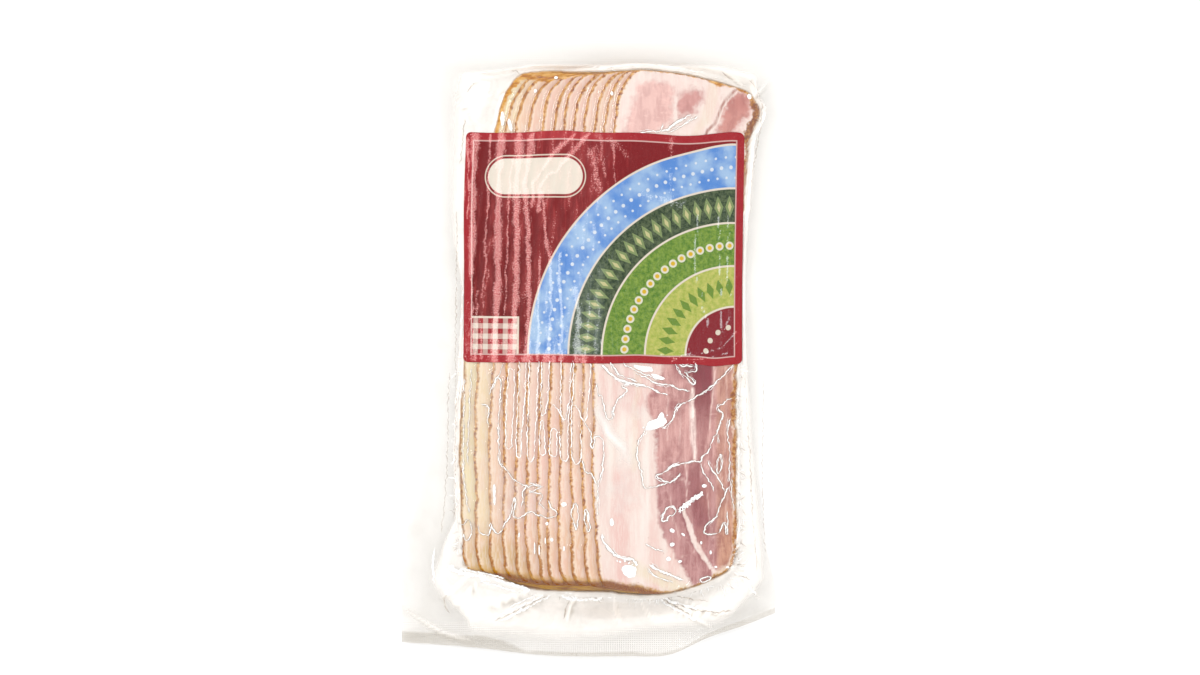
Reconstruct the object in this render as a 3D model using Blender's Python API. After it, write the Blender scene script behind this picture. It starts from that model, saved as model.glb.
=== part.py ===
"""Clear vacuum pack of shingled bacon slices with one printed label, lying face up.

Metres, +Z up. The pack lies on Z = 0, its length runs along Y (top end at +Y) and its width along X.
The pack and its contents are one sealed body. The label is a thin separate sheet stuck on its face.
Sizes are named in millimetres and turned into metres as the meshes are written.
"""

import math

import bmesh
import bpy
import numpy as np
from mathutils import Vector
from mathutils.bvhtree import BVHTree

MM = 0.001

# ---- the contents: twelve slices, each shifted to the right of the one under it ----
SLICE_COUNT = 12
SLICE_THICK = 1.3
SLICE_WIDTH = 59.0
# left edge of each slice (mm from the centre line), at three stations along the pack
STATION_TOP, STATION_MID, STATION_LOW = 96.9, -13.9, -83.7
EDGE_TOP = (-40.1, -35.7, -32.0, -26.4, -21.2, -15.8, -11.9, -7.2, -3.1, 1.2, 5.2, 9.1)
EDGE_MID = (-54.9, -48.9, -42.8, -36.8, -31.4, -27.1, -22.1, -17.7, -12.9, -8.4, -4.3, 0.0)
EDGE_LOW = (-55.0, -49.1, -43.2, -37.4, -32.5, -27.8, -23.1, -18.8, -14.1, -8.9, -3.6, 1.5)
# where the slices end, at +Y and -Y, as (x, y) stations
SLICES_TOP_END = ((-40.0, 113.5), (-26.0, 115.7), (3.0, 115.8), (24.0, 116.9), (46.0, 114.2), (66.0, 108.5))
SLICES_LOW_END = ((-55.0, -93.0), (-36.0, -97.0), (-22.0, -100.3), (0.0, -101.8), (30.0, -103.6), (46.0, -99.6), (60.0, -93.0))
TOP_SLICE_RIGHT = ((116.0, 64.0), (99.0, 69.6), (76.0, 65.2), (40.0, 62.0), (-14.0, 58.9), (-84.0, 59.6), (-104.0, 52.0))
CORNER_TOP = (8.5, 15.5)
CORNER_LOW = (4.5, 9.0)
END_SLOPE = 2.4

# ---- the film: outer edge, and the line where the two webs are sealed ----
FILM = 0.15
FLANGE_THICK = 0.5
LEFT_EDGE = ((129.0, -70.4), (112.0, -69.7), (5.0, -66.9), (-55.0, -73.2), (-76.0, -76.4), (-100.0, -79.85), (-124.0, -80.15))
RIGHT_EDGE = ((129.0, 80.2), (60.0, 79.2), (0.0, 73.4), (-92.0, 73.2), (-112.0, 77.2), (-130.0, 77.2))
TOP_EDGE = ((-80.0, 129.1), (0.0, 129.88), (80.0, 128.8))
LOW_EDGE = ((-80.2, -123.8), (-50.0, -126.0), (-22.0, -129.2), (14.7, -129.7), (33.0, -129.0), (49.0, -121.9), (65.0, -116.4), (78.0, -111.2))
LEFT_SEAL = ((118.0, -50.2), (107.0, -53.0), (67.0, -56.4), (-70.0, -56.6), (-76.5, -59.2), (-90.0, -63.0), (-104.0, -63.6), (-116.0, -52.0))
RIGHT_SEAL = ((118.0, 62.0), (76.0, 67.6), (55.0, 65.5), (-18.0, 65.1), (-71.0, 68.4), (-90.0, 69.3), (-116.0, 64.0))
TOP_SEAL = ((-51.0, 114.6), (-31.0, 117.4), (22.0, 118.2), (56.0, 116.6), (66.0, 114.0))
LOW_SEAL = ((-62.0, -106.0), (-52.7, -112.0), (-36.6, -115.2), (-20.6, -117.3), (0.8, -117.3), (22.3, -115.2), (54.4, -111.0), (69.0, -105.0))
SEAL_HEIGHT_SIDE = 1.9
SEAL_HEIGHT_END = 4.6

# ---- the label ----
LABEL_WIDTH = 117.3
LABEL_HEIGHT = 94.6
LABEL_CENTRE = (4.95, 42.1)
LABEL_TURN = math.radians(-0.85)
LABEL_THICK = 0.25
LABEL_GAP = 0.32
LABEL_CORNER = 2.1


def curve(stations):
    """A smooth curve through (station, value) pairs, flat beyond its ends."""
    pts = sorted(stations)
    s = np.array([p[0] for p in pts], float)
    v = np.array([p[1] for p in pts], float)
    slope = np.gradient(v, s)

    def at(q):
        q = min(max(q, s[0]), s[-1])
        i = min(int(np.searchsorted(s, q, "right")) - 1, len(s) - 2)
        h = s[i + 1] - s[i]
        t = (q - s[i]) / h
        return float(
            v[i] * (1 + 2 * t) * (1 - t) ** 2
            + slope[i] * h * t * (1 - t) ** 2
            + v[i + 1] * t * t * (3 - 2 * t)
            + slope[i + 1] * h * t * t * (t - 1)
        )

    return at


left_edge, right_edge = curve(LEFT_EDGE), curve(RIGHT_EDGE)
top_edge, low_edge = curve(TOP_EDGE), curve(LOW_EDGE)
left_seal, right_seal = curve(LEFT_SEAL), curve(RIGHT_SEAL)
top_seal, low_seal = curve(TOP_SEAL), curve(LOW_SEAL)
slices_top, slices_low = curve(SLICES_TOP_END), curve(SLICES_LOW_END)
top_slice_right = curve(TOP_SLICE_RIGHT)


def ease(t):
    t = min(max(t, 0.0), 1.0)
    return t * t * (3 - 2 * t)


def slice_left(k, y):
    """Left edge of slice k, a parabola through its three stations, with rounded ends."""
    a, b, c = STATION_TOP, STATION_MID, STATION_LOW
    x = (
        EDGE_TOP[k] * (y - b) * (y - c) / ((a - b) * (a - c))
        + EDGE_MID[k] * (y - a) * (y - c) / ((b - a) * (b - c))
        + EDGE_LOW[k] * (y - a) * (y - b) / ((c - a) * (c - b))
    )
    top, low = slices_top(x), slices_low(x)
    for end, sign, (rx, ry) in ((top, 1, CORNER_TOP), (low, -1, CORNER_LOW)):
        into = (sign * (y - end) + ry) / ry
        if into > 0:
            x += rx * (1 - math.sqrt(max(0.0, 1 - min(into, 1.0) ** 2)))
    return x


def layers(x, y):
    """How many slices lie over each other at a point, from their left edges and the drape on the right."""
    count = sum(ease((x - slice_left(k, y)) / 0.8 + 0.5) for k in range(SLICE_COUNT))
    right = top_slice_right(y)
    ridge = slice_left(0, y) + SLICE_WIDTH
    down = 1 + (SLICE_COUNT - 1) * min(max((right - x) / (right - ridge), 0.0), 1.0)
    count = min(count, down)
    return count * ease((right - x) / 1.2 + 0.5)


def seal_height(x, y):
    """Height of the sealed rim's upper face: low at the sides, higher at the ends, wavy all round."""
    end = max(ease((abs(y) - 80.0) / 34.0), 0.0)
    z = SEAL_HEIGHT_SIDE + (SEAL_HEIGHT_END - SEAL_HEIGHT_SIDE) * end
    z += 0.45 * math.sin(y / 11.5 + 0.03 * x + 0.6) + 0.3 * math.sin(y / 6.1 - x / 40.0 + 2.0)
    z += 0.5 * end * math.sin(x / 9.0 + 1.1) + 0.35 * end * math.sin(x / 17.0 - 0.4)
    droop = ease(1 - (y - low_edge(x)) / 7.0)
    corner = ease((-x - 62.0) / 16.0) * ease((-y - 84.0) / 34.0)
    z -= (z - 0.95) * min(0.9, 0.75 * droop + 0.55 * corner)
    return max(z, 0.85)


# ---- the pack body: one grid whose lines follow the slices, the seal and the outer edge ----
FLANGE_STEPS = 4
GAP_STEPS = 2
FACE_COLUMNS = 9
FACE_ROWS = 26


def column_places(y):
    """X of every grid column at one row, with the zone each belongs to."""
    ye = min(max(y, -99.0), 112.5)
    lo, hi = left_edge(y), right_edge(y)
    seal_l, seal_r = left_seal(ye), right_seal(ye)
    first, right = slice_left(0, ye), top_slice_right(ye)
    cols = [lo + (seal_l - lo) * i / FLANGE_STEPS for i in range(FLANGE_STEPS)]
    foot = first - 0.9
    seal_l = min(seal_l, foot - 1.2)
    cols += [seal_l + (foot - seal_l) * i / GAP_STEPS for i in range(GAP_STEPS)]
    cols.append(foot)
    for k in range(SLICE_COUNT):
        e = slice_left(k, ye)
        cols += [e - 0.42, e + 0.42]
    start, stop = cols[-1], right - 0.7
    cols += [start + (stop - start) * (i + 1) / FACE_COLUMNS for i in range(FACE_COLUMNS)]
    seal_r = max(seal_r, right + 2.0)
    cols += [right + 0.7 + (seal_r - right - 0.7) * i / GAP_STEPS for i in range(GAP_STEPS)]
    cols += [seal_r + (hi - seal_r) * i / FLANGE_STEPS for i in range(FLANGE_STEPS + 1)]
    return cols


def row_places(x):
    """Y of every grid row at one column."""
    lo, seal_l = low_edge(x), low_seal(x)
    hi, seal_h = top_edge(x), top_seal(x)
    low, top = slices_low(x), slices_top(x)
    seal_l = min(seal_l, low - 3.0)
    seal_h = max(seal_h, top + 1.6)
    rows = [lo + (seal_l - lo) * i / FLANGE_STEPS for i in range(FLANGE_STEPS)]
    rows += [seal_l + (low - 1.2 - seal_l) * i / GAP_STEPS for i in range(GAP_STEPS)]
    rows.append(low - 1.2)
    start, stop = low + END_SLOPE * 0.5, top - END_SLOPE * 0.5
    for i in range(FACE_ROWS + 1):
        t = i / FACE_ROWS
        t += 0.055 * math.sin(2 * math.pi * t) * -1
        rows.append(start + (stop - start) * t)
    rows += [top + 0.6 + (seal_h - top - 0.6) * i / GAP_STEPS for i in range(GAP_STEPS)]
    rows += [seal_h + (hi - seal_h) * i / FLANGE_STEPS for i in range(FLANGE_STEPS + 1)]
    return rows


def pack_surfaces():
    """X, Y and the upper and lower heights of every grid point."""
    nominal = row_places(0.0)
    nr = len(nominal)
    x = np.array([column_places(y) for y in nominal]).T
    nc = x.shape[0]
    y = np.array([[row_places(x[i, j])[j] for j in range(nr)] for i in range(nc)])
    inner_c = (FLANGE_STEPS + GAP_STEPS + 1, nc - FLANGE_STEPS - 1 - GAP_STEPS - 1)
    inner_r = (FLANGE_STEPS + GAP_STEPS + 1, nr - FLANGE_STEPS - 1 - GAP_STEPS - 1)
    top = np.zeros((nc, nr))
    low = np.zeros((nc, nr))
    for i in range(nc):
        for j in range(nr):
            rim = seal_height(x[i, j], y[i, j])
            # how far past the slices this grid point lies, 0 on them and 1 at the seal line
            past = []
            for n, (a, b) in ((i, inner_c), (j, inner_r)):
                past.append(max(a - n, n - b, 0) / (GAP_STEPS + 1))
            out = min(math.hypot(*past), 1.0)
            ci = min(max(i, inner_c[0]), inner_c[1])
            rj = min(max(j, inner_r[0]), inner_r[1])
            full = FILM + SLICE_THICK * layers(x[ci, rj], y[ci, rj])
            blend = ease(out) if out < 1 else 1.0
            top[i, j] = full + (rim - full) * blend
            low[i, j] = (rim - FLANGE_THICK) * ease((out - 0.25) / 0.75)
            if out == 0:
                low[i, j] = 0.0
            top[i, j] = max(top[i, j], low[i, j] + FLANGE_THICK)
    return x, y, top, low


def material(name, colour, roughness, metallic=0.0, alpha=1.0):
    mat = bpy.data.materials.new(name)
    mat.use_nodes = True
    shader = mat.node_tree.nodes["Principled BSDF"]
    shader.inputs["Base Color"].default_value = (*colour, 1.0)
    shader.inputs["Roughness"].default_value = roughness
    shader.inputs["Metallic"].default_value = metallic
    shader.inputs["Alpha"].default_value = alpha
    return mat


def sheet_body(name, x, y, top, low, mat, collection):
    """A closed body from a primitive grid: one copy of it is the underside, the extruded copy the face."""
    nc, nr = x.shape
    bpy.ops.mesh.primitive_grid_add(x_subdivisions=nc - 1, y_subdivisions=nr - 1, size=2.0)
    obj = bpy.context.active_object
    obj.name = name
    obj.data.name = name
    for c in list(obj.users_collection):
        c.objects.unlink(obj)
    collection.objects.link(obj)
    bm = bmesh.new()
    bm.from_mesh(obj.data)

    def index(v):
        return (
            int(round((v.co.x + 1) / 2 * (nc - 1))),
            int(round((v.co.y + 1) / 2 * (nr - 1))),
        )

    under = {v: index(v) for v in bm.verts}
    made = bmesh.ops.extrude_face_region(bm, geom=list(bm.faces), use_keep_orig=True)
    face = {v: index(v) for v in made["geom"] if isinstance(v, bmesh.types.BMVert)}
    for v, (i, j) in under.items():
        v.co = Vector((x[i, j], y[i, j], low[i, j])) * MM
    for v, (i, j) in face.items():
        v.co = Vector((x[i, j], y[i, j], top[i, j])) * MM
    bmesh.ops.recalc_face_normals(bm, faces=list(bm.faces))
    bmesh.ops.triangulate(bm, faces=[f for f in bm.faces if max(abs(v.co.z) for v in f.verts) > 1e-7])
    flat = [e for e in bm.edges if all(max(abs(v.co.z) for v in f.verts) < 1e-7 for f in e.link_faces)]
    bmesh.ops.dissolve_limit(bm, angle_limit=math.radians(0.5), verts=[], edges=flat)
    bm.to_mesh(obj.data)
    bm.free()
    obj.data.materials.append(mat)
    obj.data.shade_smooth()
    obj.data.set_sharp_from_angle(angle=math.radians(50))
    return obj


def label_surfaces(pack):
    """The label's grid, laid on the pack's face and lifted wherever the face would touch it."""
    bm = bmesh.new()
    bm.from_mesh(pack.data)
    bmesh.ops.triangulate(bm, faces=list(bm.faces))
    tree = BVHTree.FromBMesh(bm)
    bm.free()

    def face_height(x, y):
        hit = tree.ray_cast(Vector((x, y, 60.0)) * MM, Vector((0, 0, -1)))
        return hit[0].z / MM

    ca, sa = math.cos(LABEL_TURN), math.sin(LABEL_TURN)

    def place(u, v):
        return LABEL_CENTRE[0] + u * ca - v * sa, LABEL_CENTRE[1] + u * sa + v * ca

    rows = 17
    vs = [LABEL_HEIGHT * (j / (rows - 1) - 0.5) for j in range(rows)]
    columns = []
    for v in vs:
        half = LABEL_WIDTH / 2
        if abs(v) > LABEL_HEIGHT / 2 - 0.01:
            half -= LABEL_CORNER * 0.6
        y_mid = place(0, v)[1]
        us = [-half]
        for k in range(SLICE_COUNT):
            e = slice_left(k, min(y_mid, 99.0)) - LABEL_CENTRE[0] + v * sa
            us += [e - 0.42, e + 0.42]
        last = us[-1]
        us += [last + (half - last) * (i + 1) / 11 for i in range(11)]
        for i in range(1, len(us)):
            us[i] = max(us[i], us[i - 1] + 0.25)
        columns.append(us)
    nc = len(columns[0])
    x = np.zeros((nc, rows))
    y = np.zeros((nc, rows))
    low = np.zeros((nc, rows))
    for j, v in enumerate(vs):
        for i in range(nc):
            x[i, j], y[i, j] = place(columns[j][i], v)
            low[i, j] = face_height(x[i, j], y[i, j]) + LABEL_GAP
    parts = 4
    for _ in range(6):
        lift = np.zeros((nc, rows))
        for i in range(nc - 1):
            for j in range(rows - 1):
                need = 0.0
                for a in range(parts + 1):
                    for b in range(parts + 1):
                        s, t = a / parts, b / parts
                        w = ((1 - s) * (1 - t), s * (1 - t), (1 - s) * t, s * t)
                        q = ((i, j), (i + 1, j), (i, j + 1), (i + 1, j + 1))
                        px = sum(w[n] * x[q[n]] for n in range(4))
                        py = sum(w[n] * y[q[n]] for n in range(4))
                        pz = sum(w[n] * low[q[n]] for n in range(4))
                        need = max(need, face_height(px, py) + LABEL_GAP * 0.9 - pz)
                if need > 0.005:
                    for q in ((i, j), (i + 1, j), (i, j + 1), (i + 1, j + 1)):
                        lift[q] = max(lift[q], need)
        if lift.max() <= 0:
            break
        low += lift
    return x, y, low + LABEL_THICK, low


def main():
    for obj in list(bpy.data.objects):
        bpy.data.objects.remove(obj, do_unlink=True)
    collection = bpy.data.collections.new("bacon_vacuum_pack")
    bpy.context.scene.collection.children.link(collection)
    film = material("clear_film_and_bacon", (0.84, 0.56, 0.47), 0.25)
    print_red = material("label_print", (0.38, 0.03, 0.05), 0.35)
    pack = sheet_body("film_pack", *pack_surfaces(), film, collection)
    sheet_body("label", *label_surfaces(pack), print_red, collection)


main()
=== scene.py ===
"""The looks of a clear vacuum pack of shingled bacon slices with one printed label.

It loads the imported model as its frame, replaces the two plain solids with twelve slices, the film bag,
the glinting creases in the film and the label, and sets up the floor, the lights and the camera.
Metres, +Z up. Sizes are named in millimetres and turned into metres as the meshes are written.
"""

import math

import bpy
import numpy as np
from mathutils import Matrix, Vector


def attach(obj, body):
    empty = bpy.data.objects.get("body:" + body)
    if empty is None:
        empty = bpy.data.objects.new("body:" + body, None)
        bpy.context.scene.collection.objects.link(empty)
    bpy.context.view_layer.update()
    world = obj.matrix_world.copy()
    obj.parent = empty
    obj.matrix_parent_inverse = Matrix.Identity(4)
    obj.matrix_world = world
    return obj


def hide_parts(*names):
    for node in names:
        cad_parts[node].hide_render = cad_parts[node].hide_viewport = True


MM = 0.001

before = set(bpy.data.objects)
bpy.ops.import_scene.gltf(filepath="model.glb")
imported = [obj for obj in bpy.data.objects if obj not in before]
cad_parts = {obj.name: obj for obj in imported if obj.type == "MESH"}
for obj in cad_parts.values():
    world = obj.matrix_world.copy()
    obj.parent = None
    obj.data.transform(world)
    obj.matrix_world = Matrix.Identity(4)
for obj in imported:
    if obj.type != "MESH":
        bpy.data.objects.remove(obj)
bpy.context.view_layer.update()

# ------------------------------------------------------------------ sizes, close to those of the frame's solids

SLICE_COUNT = 12
SLICE_THICK = 1.3
SLICE_WIDTH = 59.0
STATION_TOP, STATION_MID, STATION_LOW = 96.9, -13.9, -83.7
EDGE_TOP = (-40.1, -35.7, -32.0, -26.4, -21.2, -15.8, -11.9, -7.2, -3.1, 1.2, 5.2, 9.1)
EDGE_MID = (-54.9, -48.9, -42.8, -36.8, -31.4, -27.1, -22.1, -17.7, -12.9, -8.4, -4.3, 0.0)
EDGE_LOW = (-55.0, -49.1, -43.2, -37.4, -32.5, -27.8, -23.1, -18.8, -14.1, -8.9, -3.6, 1.5)
SLICES_TOP_END = ((-40.0, 114.7), (-26.0, 117.0), (3.0, 117.0), (24.0, 117.8), (46.0, 114.6), (66.0, 108.9))
SLICES_LOW_END = ((-55.0, -93.0), (-46.0, -94.7), (-38.0, -97.4), (-30.0, -100.7), (-22.0, -102.0), (-10.0, -102.5), (2.0, -102.7), (30.0, -103.6), (46.0, -99.6), (60.0, -93.0))
TOP_SLICE_RIGHT = ((116.0, 64.0), (106.0, 68.4), (99.5, 71.3), (95.0, 69.7), (91.0, 67.8), (76.0, 65.4), (40.0, 62.4), (5.0, 61.3), (-9.0, 61.2), (-24.0, 61.4), (-38.0, 61.2), (-56.0, 60.6), (-66.0, 61.0), (-78.0, 61.4), (-90.0, 60.1), (-98.0, 57.5), (-104.0, 53.4))
CORNER_TOP = (8.5, 15.5)
CORNER_LOW = (4.5, 9.0)

FILM = 0.15
FLANGE_THICK = 0.35
LEFT_EDGE = ((129.0, -70.4), (112.0, -69.7), (5.0, -66.9), (-55.0, -73.2), (-76.0, -76.4), (-100.0, -79.85), (-124.0, -80.15))
RIGHT_EDGE = ((129.0, 80.2), (60.0, 79.2), (0.0, 73.4), (-92.0, 73.2), (-112.0, 77.2), (-130.0, 77.2))
TOP_EDGE = ((-80.0, 129.1), (0.0, 129.88), (80.0, 128.8))
LOW_EDGE = ((-80.2, -123.8), (-50.0, -126.0), (-22.0, -129.2), (14.7, -129.7), (33.0, -129.0), (49.0, -121.9), (65.0, -116.4), (78.0, -111.2))
LEFT_SEAL = ((118.0, -50.2), (107.0, -53.0), (67.0, -56.4), (-70.0, -56.6), (-76.5, -59.2), (-90.0, -63.0), (-104.0, -63.6), (-116.0, -52.0))
RIGHT_SEAL = ((118.0, 62.0), (76.0, 67.6), (55.0, 65.5), (-18.0, 65.1), (-71.0, 68.4), (-90.0, 69.3), (-116.0, 64.0))
TOP_SEAL = ((-51.0, 114.6), (-31.0, 117.4), (22.0, 118.2), (56.0, 116.6), (66.0, 114.0))
LOW_SEAL = ((-62.0, -106.0), (-52.7, -112.0), (-36.6, -115.2), (-20.6, -117.3), (0.8, -117.3), (22.3, -115.2), (54.4, -111.0), (69.0, -105.0))
SEAL_HEIGHT_SIDE = 1.9
SEAL_HEIGHT_END = 4.6

LABEL_WIDTH = 117.3
LABEL_HEIGHT = 94.6
LABEL_CENTRE = (4.95, 42.1)
LABEL_TURN = math.radians(-0.85)
LABEL_CORNER = 2.1

# ------------------------------------------------------------------ small tools


def curve(stations):
    """A smooth curve through (station, value) pairs, flat beyond its ends."""
    pts = sorted(stations)
    s = np.array([p[0] for p in pts], float)
    v = np.array([p[1] for p in pts], float)
    slope = np.gradient(v, s)

    def at(q):
        q = np.clip(np.asarray(q, float), s[0], s[-1])
        i = np.clip(np.searchsorted(s, q, "right") - 1, 0, len(s) - 2)
        h = s[i + 1] - s[i]
        t = (q - s[i]) / h
        return (
            v[i] * (1 + 2 * t) * (1 - t) ** 2
            + slope[i] * h * t * (1 - t) ** 2
            + v[i + 1] * t * t * (3 - 2 * t)
            + slope[i + 1] * h * t * t * (t - 1)
        )

    return at


left_edge, right_edge = curve(LEFT_EDGE), curve(RIGHT_EDGE)
top_edge, low_edge = curve(TOP_EDGE), curve(LOW_EDGE)
left_seal, right_seal = curve(LEFT_SEAL), curve(RIGHT_SEAL)
top_seal, low_seal = curve(TOP_SEAL), curve(LOW_SEAL)
slices_top, slices_low = curve(SLICES_TOP_END), curve(SLICES_LOW_END)
top_slice_right = curve(TOP_SLICE_RIGHT)


def ease(t):
    t = np.clip(t, 0.0, 1.0)
    return t * t * (3 - 2 * t)


TABLES = {}


def noise(x, y, size, seed):
    """Smooth noise from -1 to 1 whose bumps are about size mm apart."""
    if seed not in TABLES:
        TABLES[seed] = np.random.RandomState(seed).uniform(-1, 1, (256, 256))
    table = TABLES[seed]
    u, v = np.asarray(x, float) / size + 997.3, np.asarray(y, float) / size + 751.7
    i, j = np.floor(u).astype(int), np.floor(v).astype(int)
    s, t = ease(u - i), ease(v - j)
    i, j = i % 256, j % 256
    i2, j2 = (i + 1) % 256, (j + 1) % 256
    return (table[i, j] * (1 - s) + table[i2, j] * s) * (1 - t) + (table[i, j2] * (1 - s) + table[i2, j2] * s) * t


def linear(c):
    c = np.asarray(c, float) / 255.0
    return np.where(c <= 0.04045, c / 12.92, ((c + 0.055) / 1.055) ** 2.4)


LIGHT = 1.60  # how bright a white sheet lying on the floor is in this scene's light
UNDER_FILM = 0.82  # the share of it that comes back through the film
HAZE = 0.065  # what the film's own shine adds


def paint(r, g, b):
    """The surface colour that shows as this screen colour under the film."""
    return tuple(float(v) for v in np.clip((linear((r, g, b)) - HAZE) / LIGHT / UNDER_FILM, 0.004, 0.95))


def ink(r, g, b):
    """The surface colour that shows as this screen colour on top of the film."""
    return tuple(float(v) for v in np.clip(linear((r, g, b)) / LIGHT - 0.006, 0.004, 0.95))


def blur(a, cells):
    """Gaussian blur of a grid."""
    r = int(math.ceil(cells * 2.6))
    w = np.exp(-0.5 * (np.arange(-r, r + 1) / cells) ** 2)
    w /= w.sum()
    for axis in (0, 1):
        pad = [(0, 0), (0, 0)]
        pad[axis] = (r, r)
        p = np.pad(a, pad, mode="edge")
        n = a.shape[axis]
        a = sum(w[k] * (p[k : k + n] if axis == 0 else p[:, k : k + n]) for k in range(2 * r + 1))
    return a


def inside(poly, x, y):
    """Whether points lie in a polygon."""
    poly = np.asarray(poly, float)
    found = np.zeros(np.shape(x), bool)
    for (x0, y0), (x1, y1) in zip(poly, np.roll(poly, -1, axis=0)):
        if y0 == y1:
            continue
        cross = (y0 > y) != (y1 > y)
        found ^= cross & (x < (x1 - x0) * (y - y0) / (y1 - y0) + x0)
    return found


def line_distance(pts, x, y):
    """Distance from points to an open line, and how far along it they are, 0 to 1."""
    pts = np.asarray(pts, float)
    best = np.full(np.shape(x), 1e9)
    along = np.zeros(np.shape(x))
    lengths = np.hypot(*np.diff(pts, axis=0).T)
    total, done = lengths.sum(), 0.0
    for (x0, y0), (x1, y1), n in zip(pts[:-1], pts[1:], lengths):
        t = np.clip(((x - x0) * (x1 - x0) + (y - y0) * (y1 - y0)) / max(n * n, 1e-9), 0, 1)
        d = np.hypot(x - x0 - t * (x1 - x0), y - y0 - t * (y1 - y0))
        near = d < best
        best = np.where(near, d, best)
        along = np.where(near, (done + t * n) / total, along)
        done += n
    return best, along


def polygon_distance(poly, x, y):
    """Distance to a polygon's outline, positive inside."""
    ring = list(poly) + [poly[0]]
    d, _ = line_distance(ring, x, y)
    return np.where(inside(poly, x, y), d, -d)


# ------------------------------------------------------------------ the height grid

STEP = 0.4
GX = np.arange(-84.0, 84.0 + STEP / 2, STEP)
GY = np.arange(-134.0, 134.0 + STEP / 2, STEP)
X, Y = np.meshgrid(GX, GY, indexing="ij")


def sample(grid, x, y):
    """A grid's value at points, between its cells."""
    u = np.clip((np.asarray(x, float) - GX[0]) / STEP, 0, len(GX) - 1.001)
    v = np.clip((np.asarray(y, float) - GY[0]) / STEP, 0, len(GY) - 1.001)
    i, j = u.astype(int), v.astype(int)
    s, t = u - i, v - j
    return (grid[i, j] * (1 - s) + grid[i + 1, j] * s) * (1 - t) + (grid[i, j + 1] * (1 - s) + grid[i + 1, j + 1] * s) * t


# ------------------------------------------------------------------ the slices' outlines


def edge_line(k, y):
    """Left edge of slice k without its corners: a parabola through its three stations."""
    a, b, c = STATION_TOP, STATION_MID, STATION_LOW
    return (
        EDGE_TOP[k] * (y - b) * (y - c) / ((a - b) * (a - c))
        + EDGE_MID[k] * (y - a) * (y - c) / ((b - a) * (b - c))
        + EDGE_LOW[k] * (y - a) * (y - b) / ((c - a) * (c - b))
    )


def wobble(k, y):
    """Small waves of a cut edge."""
    rng = np.random.RandomState(40 + k)
    p = rng.uniform(0, 2 * math.pi, 4)
    return (
        0.34 * np.sin(y / 9.5 + p[0])
        + 0.3 * noise(y, np.zeros_like(y), 5.2, 80 + k)
        + 0.28 * noise(y, np.zeros_like(y), 2.6, 60 + k)
        + 0.2 * noise(y, np.zeros_like(y), 1.4, 100 + k)
    )


def inset(k, x, ends):
    """How many slices lie under slice k at x; each makes its end fall shorter of the outline."""
    under = np.zeros_like(x)
    for j in range(k):
        under += ease((ends[j] + SLICE_WIDTH - x) / 4.0 + 0.5)
    return under


low_stagger = curve(((-60.0, 0.8), (-39.0, 0.66), (-33.0, 0.72), (-28.0, 0.76), (-23.0, 0.6), (-18.6, 0.46), (-14.0, 0.4), (-4.4, 0.34), (1.0, 0.28), (6.0, 0.23), (15.0, 0.17), (25.0, 0.11), (60.0, 0.1)))


def top_end(k, x):
    each = 0.11 + 1.55 * np.exp(-(((x + 28.0) / 17.0) ** 2))
    ragged = 0.22 * noise(x, x * 0, 3.1, 90 + k) + 0.12 * noise(x, x * 0, 1.4, 190 + k)
    return slices_top(x) - each * inset(k, x, EDGE_TOP) - 0.15 + ragged * (k > 0)


def low_end(k, x):
    ragged = 0.22 * noise(x, x * 0, 3.1, 120 + k) + 0.12 * noise(x, x * 0, 1.4, 150 + k)
    return slices_low(x) + low_stagger(x) * inset(k, x, EDGE_LOW) + 0.15 + ragged * (k > 0)


def left_of(k, y):
    """Left edge of slice k, with rounded ends."""
    y = np.asarray(y, float)
    x = edge_line(k, y)
    shift = np.zeros_like(x)
    for end, sign, (rx, ry) in ((top_end(k, x + CORNER_TOP[0]), 1, CORNER_TOP), (low_end(k, x + CORNER_LOW[0]), -1, CORNER_LOW)):
        into = np.clip((sign * (y - end) + ry) / ry, 0, 1)
        shift += rx * (1 - np.sqrt(1 - into**2))
    return x + shift + wobble(k, y)


def right_of(k, y):
    y = np.asarray(y, float)
    x = top_slice_right(y) if k == SLICE_COUNT - 1 else edge_line(k, y) + SLICE_WIDTH
    shift = np.zeros_like(x)
    for end, sign, (rx, ry) in ((top_end(k, x - 3.0), 1, (3.0, 5.0)), (low_end(k, x - 4.5), -1, (4.5, 6.0))):
        into = np.clip((sign * (y - end) + ry) / ry, 0, 1)
        shift += rx * (1 - np.sqrt(1 - into**2))
    return x - shift + wobble(k + 20, y) * 0.9


ROUND = 0.6  # how far in from its edge a slice is rounded


def profile(d):
    """Height share of a rounded edge at distance d from it."""
    q = np.clip(1 - d / ROUND, 0, 1)
    return np.sqrt(1 - q * q)


def thick(k):
    return 1.25 + 0.05 * math.sin(3.1 * k + 0.4)


def settle(base, pull, rounds, fixed=None, held=None):
    """The heights of a sheet lying over a base: it spans the hollows and bends down by pull."""
    z = base.copy()
    m = np.empty_like(z)
    for _ in range(rounds):
        m[1:-1] = z[:-2]
        m[1:-1] += z[2:]
        m[0], m[-1] = z[0] + z[1], z[-1] + z[-2]
        m[:, 1:-1] += z[:, :-2]
        m[:, 1:-1] += z[:, 2:]
        m[:, 0] += z[:, 0] + z[:, 1]
        m[:, -1] += z[:, -1] + z[:, -2]
        m *= 0.25
        m -= pull
        np.maximum(base, m, out=z)
        if fixed is not None:
            np.copyto(z, held, where=fixed)
    return z


# ------------------------------------------------------------------ how the slices lie on each other

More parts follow.
